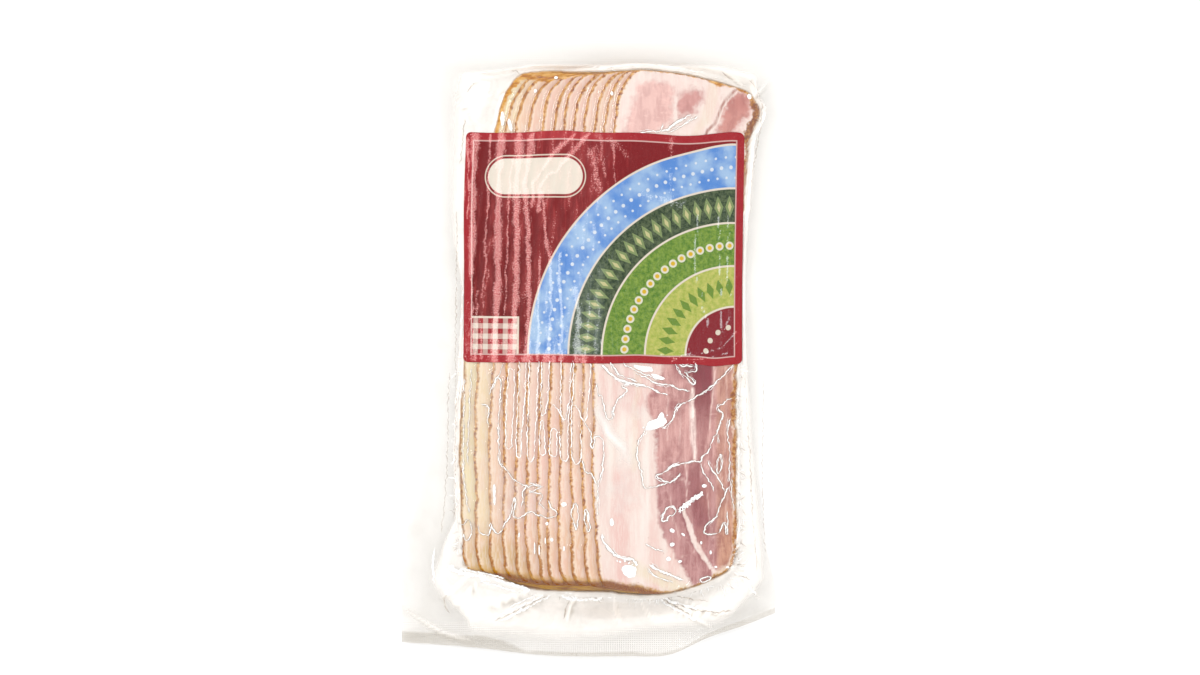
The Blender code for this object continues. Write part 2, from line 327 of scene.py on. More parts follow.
height = np.full(X.shape, FILM)
lies_on = []
for k in range(SLICE_COUNT):
    if k == SLICE_COUNT - 1:
        base = np.maximum(height, blur(settle(height, 0.0012, 260), 3.0)) + 0.02
    else:
        base = np.maximum(height, blur(height, 3.2)) + 0.02
    lies_on.append(base)
    xl, xr = left_of(k, GY)[None, :], right_of(k, GY)[None, :]
    d = np.minimum(np.minimum(X - xl, xr - X), np.minimum(top_end(k, GX)[:, None] - Y, Y - low_end(k, GX)[:, None]))
    tall = base + thick(k) * (0.45 + 0.55 * profile(d))
    height = np.where(d > 0, np.maximum(height, tall), height)
covered = height > FILM + 0.01

# ------------------------------------------------------------------ the film's heights


def seal_height(x, y):
    """Height of the sealed rim's upper face: low at the sides, higher at the ends, wavy all round."""
    end = ease((np.abs(y) - 80.0) / 34.0)
    z = SEAL_HEIGHT_SIDE + (SEAL_HEIGHT_END - SEAL_HEIGHT_SIDE) * end
    z = z + 0.45 * np.sin(y / 11.5 + 0.03 * x + 0.6) + 0.3 * np.sin(y / 6.1 - x / 40.0 + 2.0)
    z = z + 0.5 * end * np.sin(x / 9.0 + 1.1) + 0.35 * end * np.sin(x / 17.0 - 0.4)
    droop = ease(1 - (y - low_edge(x)) / 7.0)
    corner = ease((-x - 62.0) / 16.0) * ease((-y - 84.0) / 34.0)
    z = z - (z - 0.95) * np.minimum(0.9, 0.75 * droop + 0.55 * corner)
    return np.maximum(z, 0.85)


# folds that stand up in the sealed ends: half width, height and their lines
FOLDS = (
    (2.2, 0.5, ((-17.9, -101.8), (-23.2, -106.3), (-31.2, -110.1), (-40.9, -113.9))),
    (2.0, 0.4, ((-25.4, -102.6), (-33.4, -105.2), (-42.0, -107.9), (-48.9, -108.7))),
    (0.9, 0.8, ((29.7, -105.2), (34.0, -107.6), (39.9, -110.6), (47.4, -112.8))),
    (0.8, 0.7, ((36.1, -105.3), (42.0, -108.5), (47.4, -110.4), (52.8, -111.7), (55.9, -111.8), (58.6, -111.0))),
    (1.1, 0.7, ((30.2, -106.8), (36.7, -110.1), (47.4, -116.0), (50.6, -118.1))),
    (1.4, 1.2, ((-80.0, -109.1), (-75.2, -112.2), (-68.8, -116.5), (-63.4, -119.5), (-51.2, -123.1))),
    (1.0, 0.5, ((-6.0, -104.0), (-9.0, -109.0), (-10.5, -115.0))),
    (0.9, 0.5, ((9.5, -105.0), (10.0, -110.0), (12.5, -116.0))),
    (0.9, 0.4, ((20.0, -105.5), (22.5, -110.0), (26.0, -114.5))),
    (1.0, 0.6, ((-52.5, -96.0), (-58.5, -101.5), (-66.0, -106.0))),
    (0.9, 0.5, ((-47.0, -98.5), (-54.0, -104.5), (-60.0, -110.0))),
    (0.8, 0.5, ((-43.0, 106.0), (-47.5, 111.0), (-52.5, 116.0))),
    (0.8, 0.5, ((-49.0, 98.0), (-54.5, 102.0), (-58.5, 108.5))),
    (0.8, 0.4, ((55.0, 117.5), (59.5, 114.0), (63.5, 111.0))),
    (0.8, 0.4, ((66.5, 105.0), (71.0, 108.5), (75.0, 113.0))),
    (0.9, 0.4, ((61.0, -94.0), (66.0, -99.0), (70.5, -105.5))),
)

# the dry patches, where air lies between film and meat
DRY_LEFT = ((-57.5, 3.0), (-39.1, 3.0), (-39.4, -20.0), (-39.4, -48.0), (-36.5, -50.3), (-34.0, -54.1), (-31.1, -55.9), (-28.3, -57.6), (-20.3, -57.8), (-22.7, -60.6), (-19.3, -63.5), (-20.6, -66.0), (-15.5, -67.3), (-15.5, -69.0), (-18.2, -70.9), (-22.7, -69.4), (-24.8, -68.1), (-27.7, -70.2), (-30.0, -70.9), (-34.0, -71.1), (-37.2, -73.4), (-37.8, -76.4), (-40.8, -77.6), (-42.4, -75.7), (-42.8, -73.6), (-43.7, -78.5), (-47.9, -76.9), (-52.1, -81.6), (-57.3, -80.7))
DRY_MIDDLE = ((3.4, 3.0), (64.3, 3.0), (64.3, -5.5), (59.6, -5.8), (52.1, -13.1), (44.1, -19.0), (40.6, -21.7), (36.3, -24.1), (34.4, -27.5), (30.5, -33.3), (24.4, -33.9), (20.2, -37.5), (19.1, -40.8), (20.0, -48.2), (21.4, -55.1), (18.9, -61.8), (13.9, -65.6), (8.4, -69.8), (4.2, -63.5), (5.0, -45.8), (3.7, -32.5), (2.3, -24.9), (2.5, -13.1))
DRY_RIGHT = ((58.0, -21.1), (55.0, -23.6), (54.6, -27.4), (52.7, -37.0), (50.3, -42.9), (45.4, -47.1), (37.8, -48.8), (32.8, -50.1), (26.9, -54.3), (21.4, -54.3), (19.3, -43.8), (20.2, -37.5), (24.4, -33.9), (30.5, -33.3), (34.4, -27.5), (36.3, -24.1), (40.6, -21.7), (44.1, -19.0), (52.1, -13.1), (59.6, -5.8), (60.5, -13.1))

# thin folds where the film has pulled free of the meat, drawn as white lines of painted highlight, as (half width,
# height, closed, line)
CREASES = (
    (0.13, 0.14, False, ((-50.2, -8.4), (-50.9, -10.0), (-51.5, -18.1), (-51.9, -29.0), (-52.4, -39.9), (-52.6, -49.2))),
    (0.13, 0.14, False, ((-53.7, -12.7), (-54.0, -25.9), (-54.3, -41.4), (-54.0, -57.0), (-52.9, -63.2), (-52.1, -69.4))),
    (0.15, 0.16, False, ((-37.7, -6.5), (-38.9, -10.4), (-40.8, -12.7), (-42.0, -15.8), (-43.2, -19.3))),
    (0.17, 0.18, False, ((-41.2, -12.3), (-38.3, -12.7), (-38.4, -16.6), (-39.1, -25.9), (-39.5, -37.6), (-39.5, -46.1), (-38.9, -48.4), (-36.2, -50.8), (-34.2, -53.9), (-31.1, -56.2), (-28.0, -57.8), (-24.1, -57.6), (-20.3, -57.9))),
    (0.16, 0.16, False, ((-47.1, -23.2), (-43.9, -24.0), (-42.8, -25.9), (-44.7, -29.8), (-43.6, -32.1))),
    (0.15, 0.16, False, ((2.1, -14.3), (2.7, -20.5), (3.8, -19.3), (4.6, -22.8), (5.8, -28.2), (6.9, -30.3), (8.5, -29.0), (8.9, -25.1), (8.5, -24.4))),
    (0.24, 0.22, False, ((20.1, -15.0), (15.5, -14.3), (12.0, -15.4), (13.9, -16.6), (14.7, -17.8), (12.8, -19.3), (10.8, -21.2), (9.3, -23.6), (8.9, -26.7), (9.1, -28.6))),
    (0.2, 0.22, False, ((59.4, -6.5), (57.4, -9.6), (54.3, -11.9), (49.7, -16.6), (45.0, -19.3), (41.1, -22.0), (37.2, -23.2), (35.7, -24.7), (34.5, -27.5), (34.1, -29.4), (31.4, -32.5), (29.1, -33.3))),
    (0.34, 0.24, False, ((37.4, -23.2), (35.7, -24.7), (34.7, -27.3), (34.1, -29.2))),
    (0.18, 0.18, False, ((22.5, -34.1), (20.1, -37.6), (19.0, -40.7), (19.0, -44.6), (19.8, -49.2), (20.9, -52.3), (21.3, -57.0), (22.1, -58.9), (25.6, -58.1), (28.7, -57.0), (31.8, -56.6))),
    (0.2, 0.22, False, ((59.0, -20.9), (57.0, -21.2), (55.9, -23.2), (52.8, -24.4), (53.2, -25.9), (55.1, -27.1), (54.7, -29.8), (53.5, -33.7), (52.0, -36.0), (50.8, -38.3), (50.0, -41.4), (48.9, -43.8), (46.9, -45.3), (45.4, -47.7), (42.7, -47.3), (38.8, -48.0), (35.7, -48.8), (33.3, -49.6), (31.8, -51.2), (29.5, -52.3), (26.7, -53.5), (27.9, -54.3), (32.6, -56.2), (34.1, -55.4), (37.2, -52.3))),
    (0.36, 0.24, False, ((36.8, -48.6), (34.9, -49.2), (33.2, -49.7), (31.9, -50.9))),
    (0.16, 0.16, False, ((52.4, -36.0), (53.2, -37.9), (53.3, -39.9))),
    (0.16, 0.16, True, ((54.3, -44.2), (53.2, -46.9), (52.4, -51.5), (53.2, -53.1), (54.3, -50.8), (54.6, -46.1))),
    (0.15, 0.16, False, ((58.2, -29.4), (57.3, -33.7), (57.4, -37.6), (58.2, -43.0), (58.3, -48.4), (58.2, -52.3), (57.8, -56.2))),
    (0.2, 0.14, False, ((48.9, -46.9), (49.7, -50.0), (52.8, -53.1), (54.3, -56.2), (55.9, -60.1))),
    (0.18, 0.14, False, ((45.8, -48.4), (46.9, -52.3), (50.0, -56.2), (51.2, -60.1))),
    (0.24, 0.2, False, ((7.7, -4.9), (9.3, -8.8), (12.4, -11.5), (17.0, -12.7), (19.0, -13.6))),
    (0.3, 0.2, False, ((3.8, -6.5), (6.9, -9.6), (10.8, -12.7), (16.3, -14.6), (20.9, -15.4), (24.8, -16.6), (28.7, -18.5), (31.8, -19.3))),
    (0.2, 0.2, False, ((12.4, -4.9), (15.1, -7.7), (17.4, -8.4), (20.1, -9.8), (23.2, -11.1), (26.4, -12.7), (30.2, -13.1))),
    (0.24, 0.2, False, ((18.2, -10.0), (22.5, -11.9), (26.0, -14.3), (29.5, -15.0), (34.1, -15.4))),
    (0.2, 0.2, False, ((32.6, -15.0), (34.9, -16.2), (38.0, -17.4), (41.1, -18.1))),
    (0.2, 0.22, False, ((35.3, -5.7), (36.1, -8.4), (37.6, -10.4), (40.3, -12.7), (42.3, -15.0), (43.4, -14.4), (41.3, -12.1), (38.8, -9.8))),
    (0.2, 0.22, False, ((38.8, -9.8), (41.5, -10.0), (43.8, -9.2), (44.4, -7.3), (43.4, -5.3))),
    (0.16, 0.18, False, ((36.5, -6.1), (38.0, -7.3), (40.3, -6.9), (42.7, -7.4))),
    (0.17, 0.17, False, ((-26.5, -56.3), (-23.4, -57.4), (-20.6, -58.1), (-24.1, -59.8), (-26.9, -59.9), (-23.4, -60.7), (-20.3, -61.3), (-22.0, -63.6), (-22.2, -65.2), (-20.3, -66.8), (-19.6, -67.9))),
    (0.17, 0.17, False, ((-27.2, -57.4), (-29.2, -59.8), (-29.0, -63.6), (-29.4, -66.8))),
    (0.17, 0.17, False, ((-37.7, -76.1), (-38.9, -78.0), (-40.8, -77.6), (-42.4, -75.7), (-42.8, -73.4), (-43.0, -78.4), (-45.5, -78.6), (-47.8, -77.2), (-48.1, -74.5))),
    (0.17, 0.17, False, ((-37.7, -76.1), (-37.2, -73.4), (-34.2, -71.0), (-33.5, -65.2), (-32.8, -62.1), (-32.1, -63.6), (-32.3, -66.8), (-33.3, -71.0), (-29.6, -71.0), (-26.5, -68.7), (-24.9, -68.3), (-23.0, -70.3), (-21.0, -69.5), (-18.7, -71.4), (-16.4, -70.3), (-14.8, -70.6), (-15.2, -67.9), (-17.1, -66.8), (-18.7, -63.6))),
    (0.15, 0.16, False, ((-57.2, -73.7), (-54.4, -74.1), (-52.1, -71.8), (-51.2, -73.4), (-50.9, -78.4), (-52.1, -81.1), (-53.7, -80.9), (-54.0, -77.6), (-55.2, -80.0))),
    (0.17, 0.18, True, ((-7.0, -64.4), (-8.4, -66.8), (-8.8, -69.1), (-7.4, -73.0), (-6.7, -76.7), (-5.9, -73.7), (-5.7, -68.3), (-6.3, -65.2))),
    (0.2, 0.2, True, ((-2.8, -67.1), (-1.8, -67.5), (-1.5, -70.6), (-0.8, -75.3), (-1.5, -77.0), (-2.7, -73.4), (-3.3, -69.9))),
    (0.42, 0.28, False, ((3.8, -77.6), (4.6, -80.7), (7.3, -83.8), (10.0, -87.0), (13.9, -88.1), (16.6, -88.1), (18.7, -89.7), (18.8, -91.0))),
    (0.2, 0.16, False, ((22.5, -81.5), (25.6, -83.7), (30.2, -85.0))),
    (0.42, 0.22, False, ((24.2, -90.4), (27.9, -93.2), (32.6, -95.1), (38.8, -97.1))),
    (0.16, 0.16, False, ((23.2, -92.2), (27.1, -95.9), (34.1, -98.2))),
    (0.26, 0.22, True, ((29.1, -72.2), (30.2, -69.1), (31.8, -66.8), (34.1, -66.4), (35.3, -67.9), (34.5, -69.9), (32.6, -70.3), (31.4, -72.6))),
    (0.18, 0.2, False, ((57.4, -58.2), (56.3, -61.3), (54.3, -65.2), (53.2, -69.1), (51.2, -71.8), (48.1, -74.1), (46.9, -77.6), (48.9, -78.3), (53.5, -77.9), (55.1, -73.7), (56.0, -73.0), (56.5, -77.6), (57.0, -78.4), (57.3, -74.5), (57.0, -68.3))),
    (0.18, 0.18, True, ((45.8, -97.4), (46.9, -96.3), (50.0, -95.7), (50.4, -96.9), (48.5, -98.1), (46.2, -98.4))),
    (0.15, 0.16, False, ((59.0, -55.1), (58.7, -59.0), (59.4, -63.6), (59.9, -68.3))),
    (0.17, 0.17, False, ((-3.9, -29.8), (-1.6, -32.9), (-0.1, -36.0), (-0.4, -38.3), (-0.2, -41.4), (0.7, -41.8), (1.1, -39.1), (0.7, -36.8), (3.4, -36.8), (4.6, -37.9), (5.0, -41.4), (4.6, -49.2), (2.7, -57.0), (2.3, -64.0), (2.4, -69.8))),
    (0.16, 0.16, False, ((-4.5, -46.5), (-3.2, -50.8), (-2.0, -52.3), (-0.4, -52.2), (1.1, -54.3), (2.1, -57.0))),
    # in the top end
    (0.3, 0.24, False, ((29.0, 90.8), (33.5, 93.5), (37.5, 96.0), (41.5, 98.6))),
    (0.2, 0.2, False, ((31.5, 90.4), (36.0, 92.6), (40.5, 95.2), (44.5, 98.0))),
    (0.16, 0.16, False, ((20.0, 90.6), (24.5, 91.3), (29.0, 90.8), (30.0, 94.5))),
)

# the long slim pockets of air that run down the steps between the slices; their outlines are drawn as white lines of
# painted highlight
POCKETS = (
    (True, ((-35.0, -8.0), (-35.4, -14.3), (-36.2, -25.9), (-36.6, -37.6), (-36.2, -41.8), (-35.0, -42.8), (-33.8, -41.4), (-33.6, -33.7), (-33.1, -25.9), (-32.5, -14.3), (-32.8, -9.6), (-34.2, -7.9))),
    (False, ((-30.4, -3.9), (-30.7, -14.3), (-31.5, -25.9), (-31.9, -37.6), (-31.8, -44.9), (-30.7, -46.3), (-30.0, -44.9), (-29.6, -37.6), (-28.8, -28.2), (-28.0, -16.6), (-27.6, -3.9))),
    (False, ((-26.5, -3.9), (-26.6, -18.1), (-27.1, -29.8), (-27.4, -37.6), (-27.2, -46.1), (-25.8, -47.7), (-24.6, -46.5), (-24.0, -37.6), (-23.4, -29.8), (-23.0, -18.1), (-22.4, -3.9))),
    (False, ((-21.0, -3.9), (-21.3, -16.6), (-21.7, -26.7), (-21.2, -28.6), (-19.9, -27.5), (-18.7, -23.6), (-18.1, -14.3), (-17.8, -3.9))),
    (True, ((-21.5, -29.8), (-22.0, -35.2), (-22.2, -43.8), (-20.6, -45.2), (-19.5, -44.2), (-19.9, -36.8), (-20.4, -30.6))),
    (True, ((-16.7, -33.3), (-17.5, -35.2), (-17.9, -44.9), (-14.8, -45.6), (-14.6, -37.6), (-15.0, -33.8))),
    (False, ((-17.1, -24.0), (-16.0, -23.6), (-14.0, -25.9), (-11.7, -30.2), (-10.9, -29.0), (-9.4, -22.0), (-8.6, -3.9))),
    (False, ((-12.9, -3.9), (-13.1, -18.1), (-13.3, -27.5), (-11.7, -30.6))),
    (False, ((-13.8, -36.0), (-13.6, -41.4), (-13.3, -46.1), (-10.9, -47.4), (-10.0, -46.1), (-10.2, -37.6), (-9.8, -30.6), (-9.5, -23.6))),
    (False, ((-7.8, -3.9), (-7.8, -18.1), (-8.4, -23.2), (-8.8, -28.2), (-8.6, -36.8), (-8.8, -44.6), (-7.4, -48.0), (-5.9, -48.4), (-4.5, -46.5), (-4.3, -41.4), (-4.7, -36.8), (-4.5, -33.3))),
    (False, ((-8.4, -23.2), (-7.0, -23.2), (-5.9, -25.1), (-3.9, -29.8), (-2.8, -30.2), (-1.8, -25.9), (-1.0, -18.1), (-0.4, -3.9))),
)

# broad glints, as outlines
PATCHES = (
    ((22.5, -33.3), (22.9, -31.3), (24.8, -29.8), (27.1, -29.8), (28.7, -26.7), (29.5, -26.3), (30.6, -29.0), (31.4, -30.6), (29.5, -32.9), (26.4, -33.7), (23.2, -34.5)),
    ((17.4, -6.5), (20.1, -7.1), (23.2, -7.4), (26.0, -7.9), (25.6, -9.4), (22.5, -9.8), (20.1, -9.1), (18.2, -8.2)),
    ((24.8, -10.2), (27.9, -11.0), (30.9, -12.2), (30.6, -13.0), (27.1, -12.5), (25.0, -11.3)),
    ((12.4, -92.2), (13.5, -91.0), (16.3, -90.7), (19.0, -91.8), (18.6, -93.9), (17.4, -95.7), (14.7, -95.7), (12.8, -93.9)),
)

# round glints: x, y, half width, half length, turn in degrees
DOTS = (
    (47.3, -57.8, 1.09, 0.78, 0), (33.7, -76.5, 1.17, 0.85, -35), (38.4, -78.2, 0.93, 0.47, -35), (33.7, -82.3, 1.09, 0.85, 20),
    (32.2, -88.3, 1.01, 1.01, 0), (37.0, -89.5, 0.93, 0.62, 20), (46.0, -81.7, 0.47, 0.78, 0), (50.0, -85.8, 0.54, 0.93, 0),
    (52.2, -92.0, 0.7, 0.47, 0), (57.2, -92.2, 0.78, 0.47, 0), (-11.7, -65.2, 1.24, 0.93, 0), (-16.8, -80.2, 0.7, 0.85, 0),
    (-30.7, -78.3, 0.39, 1.09, 0), (-18.9, -73.4, 0.62, 0.78, -20), (8.3, -72.6, 0.85, 1.86, 0), (-11.7, -83.8, 0.39, 1.09, 0),
    (-22.2, -84.6, 0.31, 2.33, 0), (-19.6, -80.7, 0.31, 1.55, 0), (-24.1, -83.8, 0.31, 2.64, 0), (-41.2, -59.8, 0.62, 2.95, 0),
    (-41.1, -63.6, 0.47, 2.33, 0), (8.4, 107.0, 0.59, 0.92, 0), (66.4, 106.4, 0.92, 1.09, 20), (-23.9, 108.7, 0.67, 0.84, 0),
    (-15.1, 114.2, 0.76, 0.67, 0), (-37.8, 96.9, 0.9, 3.3, 0), (-34.6, 94.4, 0.85, 2.9, 15), (-1.5, -70.5, 0.5, 2.2, 0),
)

# where the film lies: the height of its upper face over the grid
foot_l = np.minimum(left_of(0, np.clip(GY, -99.0, 112.5)) - 0.9, 1e9)[None, :]
foot_r = (right_of(SLICE_COUNT - 1, np.clip(GY, -99.0, 107.5)) + 0.7)[None, :]
seal_l = np.minimum(left_seal(GY)[None, :], foot_l - 1.2)
seal_r = np.maximum(right_seal(GY)[None, :], foot_r + 1.4)
foot_low = (slices_low(GX) - 0.8)[:, None]
foot_top = (slices_top(GX) + 0.5)[:, None]
seal_low = np.minimum(low_seal(GX)[:, None], foot_low - 2.0)
seal_top = np.maximum(top_seal(GX)[:, None] + 0.6, foot_top + 1.6)
past_x = np.maximum((foot_l - X) / (foot_l - seal_l), (X - foot_r) / (seal_r - foot_r))
past_y = np.maximum((foot_low - Y) / (foot_low - seal_low), (Y - foot_top) / (seal_top - foot_top))
out = np.clip(np.hypot(np.maximum(past_x, 0), np.maximum(past_y, 0)), 0, 1.5)
rim = seal_height(X, Y)

web = (rim - FLANGE_THICK) * ease((out - 0.2) / 0.8)  # the lower web, flat under the meat

fold_lift = np.zeros(X.shape)
for half, tall, line in FOLDS:
    d, t = line_distance(line, X, Y)
    fade = np.sin(np.clip(t, 0.02, 0.98) * math.pi) ** 0.6
    fold_lift = np.maximum(fold_lift, tall * fade * np.exp(-((d / half) ** 2) * 1.6))
ripples = 0.10 * noise(X, Y, 5.0, 7) + 0.07 * noise(X * 0.6, Y, 2.4, 8)
flange = web + FLANGE_THICK + fold_lift + ripples * ease(out)

dry = np.zeros(X.shape)
for poly, amount in ((DRY_LEFT, 1.0), (DRY_MIDDLE, 0.12), (DRY_RIGHT, 0.05)):
    dry = np.maximum(dry, amount * inside(poly, X, Y))
for closed, line in POCKETS:
    dry = np.maximum(dry, 0.9 * inside(line, X, Y))
dry = blur(dry, 0.9)

solid = height.copy()
for _ in range(1):
    p = np.pad(solid, 1, mode="edge")
    n, m = solid.shape
    solid = np.maximum.reduce([p[a : a + n, b : b + m] for a in range(3) for b in range(3)])
obstacle = np.where(covered | (solid > FILM + 0.01), solid + 0.07 + 0.14 * dry, 0.0)
obstacle = np.maximum(obstacle, web + 0.14)
fixed = out >= 1.0
PULL = 1.6 * STEP * STEP / 4  # how hard the vacuum bends the film down
film_top = settle(obstacle, PULL, 320, fixed, flange)
pleats = noise(X * 0.25, Y, 2.3, 21) * 0.5 + noise(X, Y, 3.4, 22) * 0.5
film_top = film_top + 0.34 * pleats * ease(out / 0.35) * ease((1.5 - out) / 0.5)
film_top = np.maximum(film_top, web + FLANGE_THICK * 0.6)
film_top = np.where(fixed, flange, np.maximum(blur(film_top, 0.8), web + 0.2))


# ------------------------------------------------------------------ writing meshes


def put(name, verts, faces, mat, nodes, attributes=(), sharp=None):
    """A mesh object from millimetre vertices, riding on the pack."""
    me = bpy.data.meshes.new(name)
    me.from_pydata((np.asarray(verts, float) * MM).tolist(), [], [list(map(int, f)) for f in faces])
    me.update()
    for key, kind, values in attributes:
        layer = me.attributes.new(key, kind, "POINT")
        field = {"FLOAT": "value", "FLOAT_COLOR": "color", "FLOAT_VECTOR": "vector"}[kind]
        layer.data.foreach_set(field, np.asarray(values, np.float32).ravel())
    me.materials.append(mat)
    me.shade_smooth()
    if sharp is not None:
        me.set_sharp_from_angle(angle=math.radians(sharp))
    obj = bpy.data.objects.new(name, me)
    bpy.context.scene.collection.objects.link(obj)
    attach(obj, "root")
    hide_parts(*nodes)
    return obj


def closed_grid(top, low):
    """Vertices and faces of a closed body whose upper and lower grids share their outer ring.
    Also gives which grid point each vertex comes from."""
    nc, nr = top.shape[:2]
    up = np.arange(nc * nr).reshape(nc, nr)
    inner = np.zeros((nc, nr), bool)
    inner[1:-1, 1:-1] = True
    down = up.copy()
    down[inner] = nc * nr + np.arange(int(inner.sum()))
    verts = np.concatenate([top.reshape(-1, 3), low[inner]])
    source = np.concatenate([up.ravel(), up[inner]])

    def quads(g, flip):
        a, b, c, d = g[:-1, :-1], g[1:, :-1], g[1:, 1:], g[:-1, 1:]
        order = (a, d, c, b) if flip else (a, b, c, d)
        return np.stack(order, -1).reshape(-1, 4)

    return verts, np.concatenate([quads(up, False), quads(down, True)]), source


# ------------------------------------------------------------------ node helpers


class Nodes:
    """A short way to build a node tree."""

    def __init__(self, name):
        self.mat = bpy.data.materials.new(name)
        self.mat.use_nodes = True
        self.tree = self.mat.node_tree
        self.tree.nodes.clear()

    def node(self, kind, inputs=(), **settings):
        n = self.tree.nodes.new(kind)
        for key, value in settings.items():
            setattr(n, key, value)
        for key, value in dict(inputs).items():
            self.set(n, key, value)
        return n

    def set(self, n, key, value):
        socket = n.inputs[key]
        if isinstance(value, bpy.types.NodeSocket):
            self.tree.links.new(value, socket)
        elif isinstance(value, tuple) and len(value) == 3 and socket.type == "RGBA":
            socket.default_value = (*value, 1.0)
        else:
            socket.default_value = value

    def attribute(self, name, output="Fac"):
        return self.node("ShaderNodeAttribute", attribute_name=name).outputs[output]

    def math(self, operation, a, b=0.0, c=None, clamp=False):
        n = self.node("ShaderNodeMath", operation=operation, use_clamp=clamp)
        self.set(n, 0, a)
        self.set(n, 1, b)
        if c is not None:
            self.set(n, 2, c)
        return n.outputs[0]

    def mix(self, factor, a, b, blend="MIX"):
        n = self.node("ShaderNodeMix", data_type="RGBA", blend_type=blend)
        n.clamp_factor = True
        for key, value in ((0, factor), (6, a), (7, b)):
            socket = n.inputs[key]
            if isinstance(value, bpy.types.NodeSocket):
                self.tree.links.new(value, socket)
            elif isinstance(value, tuple):
                socket.default_value = (*value, 1.0)
            else:
                socket.default_value = value
        return n.outputs[2]

    def ramp(self, value, stops, smooth=False):
        n = self.node("ShaderNodeValToRGB", {"Fac": value})
        ramp = n.color_ramp
        ramp.interpolation = "EASE" if smooth else "LINEAR"
        while len(ramp.elements) < len(stops):
            ramp.elements.new(0.5)
        for element, (place, colour) in zip(ramp.elements, stops):
            element.position = place
            element.color = (*colour, 1.0) if isinstance(colour, tuple) else (colour, colour, colour, 1.0)
        return n.outputs["Color"]

    def step(self, value, low, high):
        """0 below low, 1 above high, smooth between."""
        n = self.node("ShaderNodeMapRange", interpolation_type="SMOOTHSTEP", clamp=True)
        self.set(n, "Value", value)
        for key, v in (("From Min", low), ("From Max", high), ("To Min", 0.0), ("To Max", 1.0)):
            n.inputs[key].default_value = v
        return n.outputs["Result"]

    def noise(self, vector, scale, detail=3.0, rough=0.55, stretch=None, distortion=0.0):
        if stretch is not None:
            vector = self.node("ShaderNodeMapping", {"Vector": vector, "Scale": stretch}).outputs[0]
        n = self.node("ShaderNodeTexNoise", {"Vector": vector, "Scale": scale, "Detail": detail, "Roughness": rough, "Distortion": distortion})
        return n.outputs["Fac"]

    def output(self, shader):
        n = self.node("ShaderNodeOutputMaterial")
        self.tree.links.new(shader, n.inputs["Surface"])
        return self.mat


def object_place(t):
    """Object coordinates in millimetres."""
    place = t.node("ShaderNodeTexCoord").outputs["Object"]
    return t.node("ShaderNodeVectorMath", {0: place, "Scale": 1000.0}, operation="SCALE").outputs[0]


# ------------------------------------------------------------------ the bacon

LEAN_LOW = ((31.9, 4.0), (28.6, -9.7), (25.2, -15.6), (23.1, -20.7), (23.5, -26.5), (26.5, -31.6), (26.7, -38.3), (26.9, -48.8), (27.7, -60.1), (28.6, -71.1), (29.8, -76.5), (32.3, -82.4), (35.3, -87.9), (38.6, -93.7), (42.0, -97.9), (45.4, -101.3), (50.4, -99.6), (54.6, -96.7), (58.4, -91.2), (60.9, -83.7), (62.2, -63.5), (61.3, -38.3), (61.7, -21.5), (64.3, 4.0))
LEAN_SOFT = ((9.2, 2.0), (8.4, -9.7), (10.1, -18.1), (9.2, -29.9), (12.6, -37.5), (18.5, -36.6), (21.0, -31.6), (24.4, -26.5), (25.2, -19.8), (24.4, -14.8), (26.5, -9.7), (28.6, 2.0))
PINK_LOW = ((8.4, -34.9), (10.1, -50.9), (8.4, -71.9), (8.8, -88.7), (10.1, -104.7), (15.1, -105.5), (16.0, -88.7), (15.1, -71.9), (16.4, -55.1), (15.5, -36.6))
EYE_LARGE = ((12.0, 85.0), (12.4, 91.2), (13.6, 94.2), (15.4, 98.5), (17.2, 102.6), (18.0, 107.0), (19.6, 110.4), (24.0, 111.4), (30.0, 111.2), (34.3, 110.4), (34.1, 103.0), (34.4, 98.0), (32.5, 95.0), (28.4, 93.2), (26.0, 90.0), (25.0, 85.0))
EYE_SMALL = ((36.1, 105.8), (38.2, 107.9), (42.0, 108.7), (46.2, 107.9), (47.5, 105.8), (45.8, 102.4), (42.8, 99.9), (39.1, 98.6), (36.1, 97.8), (35.5, 102.0))
LEAN_TOP = ((54.6, 96.9), (55.0, 101.6), (57.1, 104.9), (60.1, 107.4), (63.4, 108.3), (66.4, 106.6), (67.6, 102.8), (66.8, 99.5), (63.8, 96.5), (60.9, 93.6), (59.4, 84.2), (54.6, 84.8), (53.8, 93.2))
DARK_BAND = ((46.6, 2.0), (46.6, -13.1), (46.8, -21.5), (47.0, -29.9), (46.8, -38.3), (47.0, -44.6))
FAT_CORNER = ((48.0, -100.5), (50.4, -96.2), (53.4, -93.4), (56.4, -91.6), (59.0, -90.6), (62.5, -90.0), (62.5, -101.0), (50.0, -104.0))
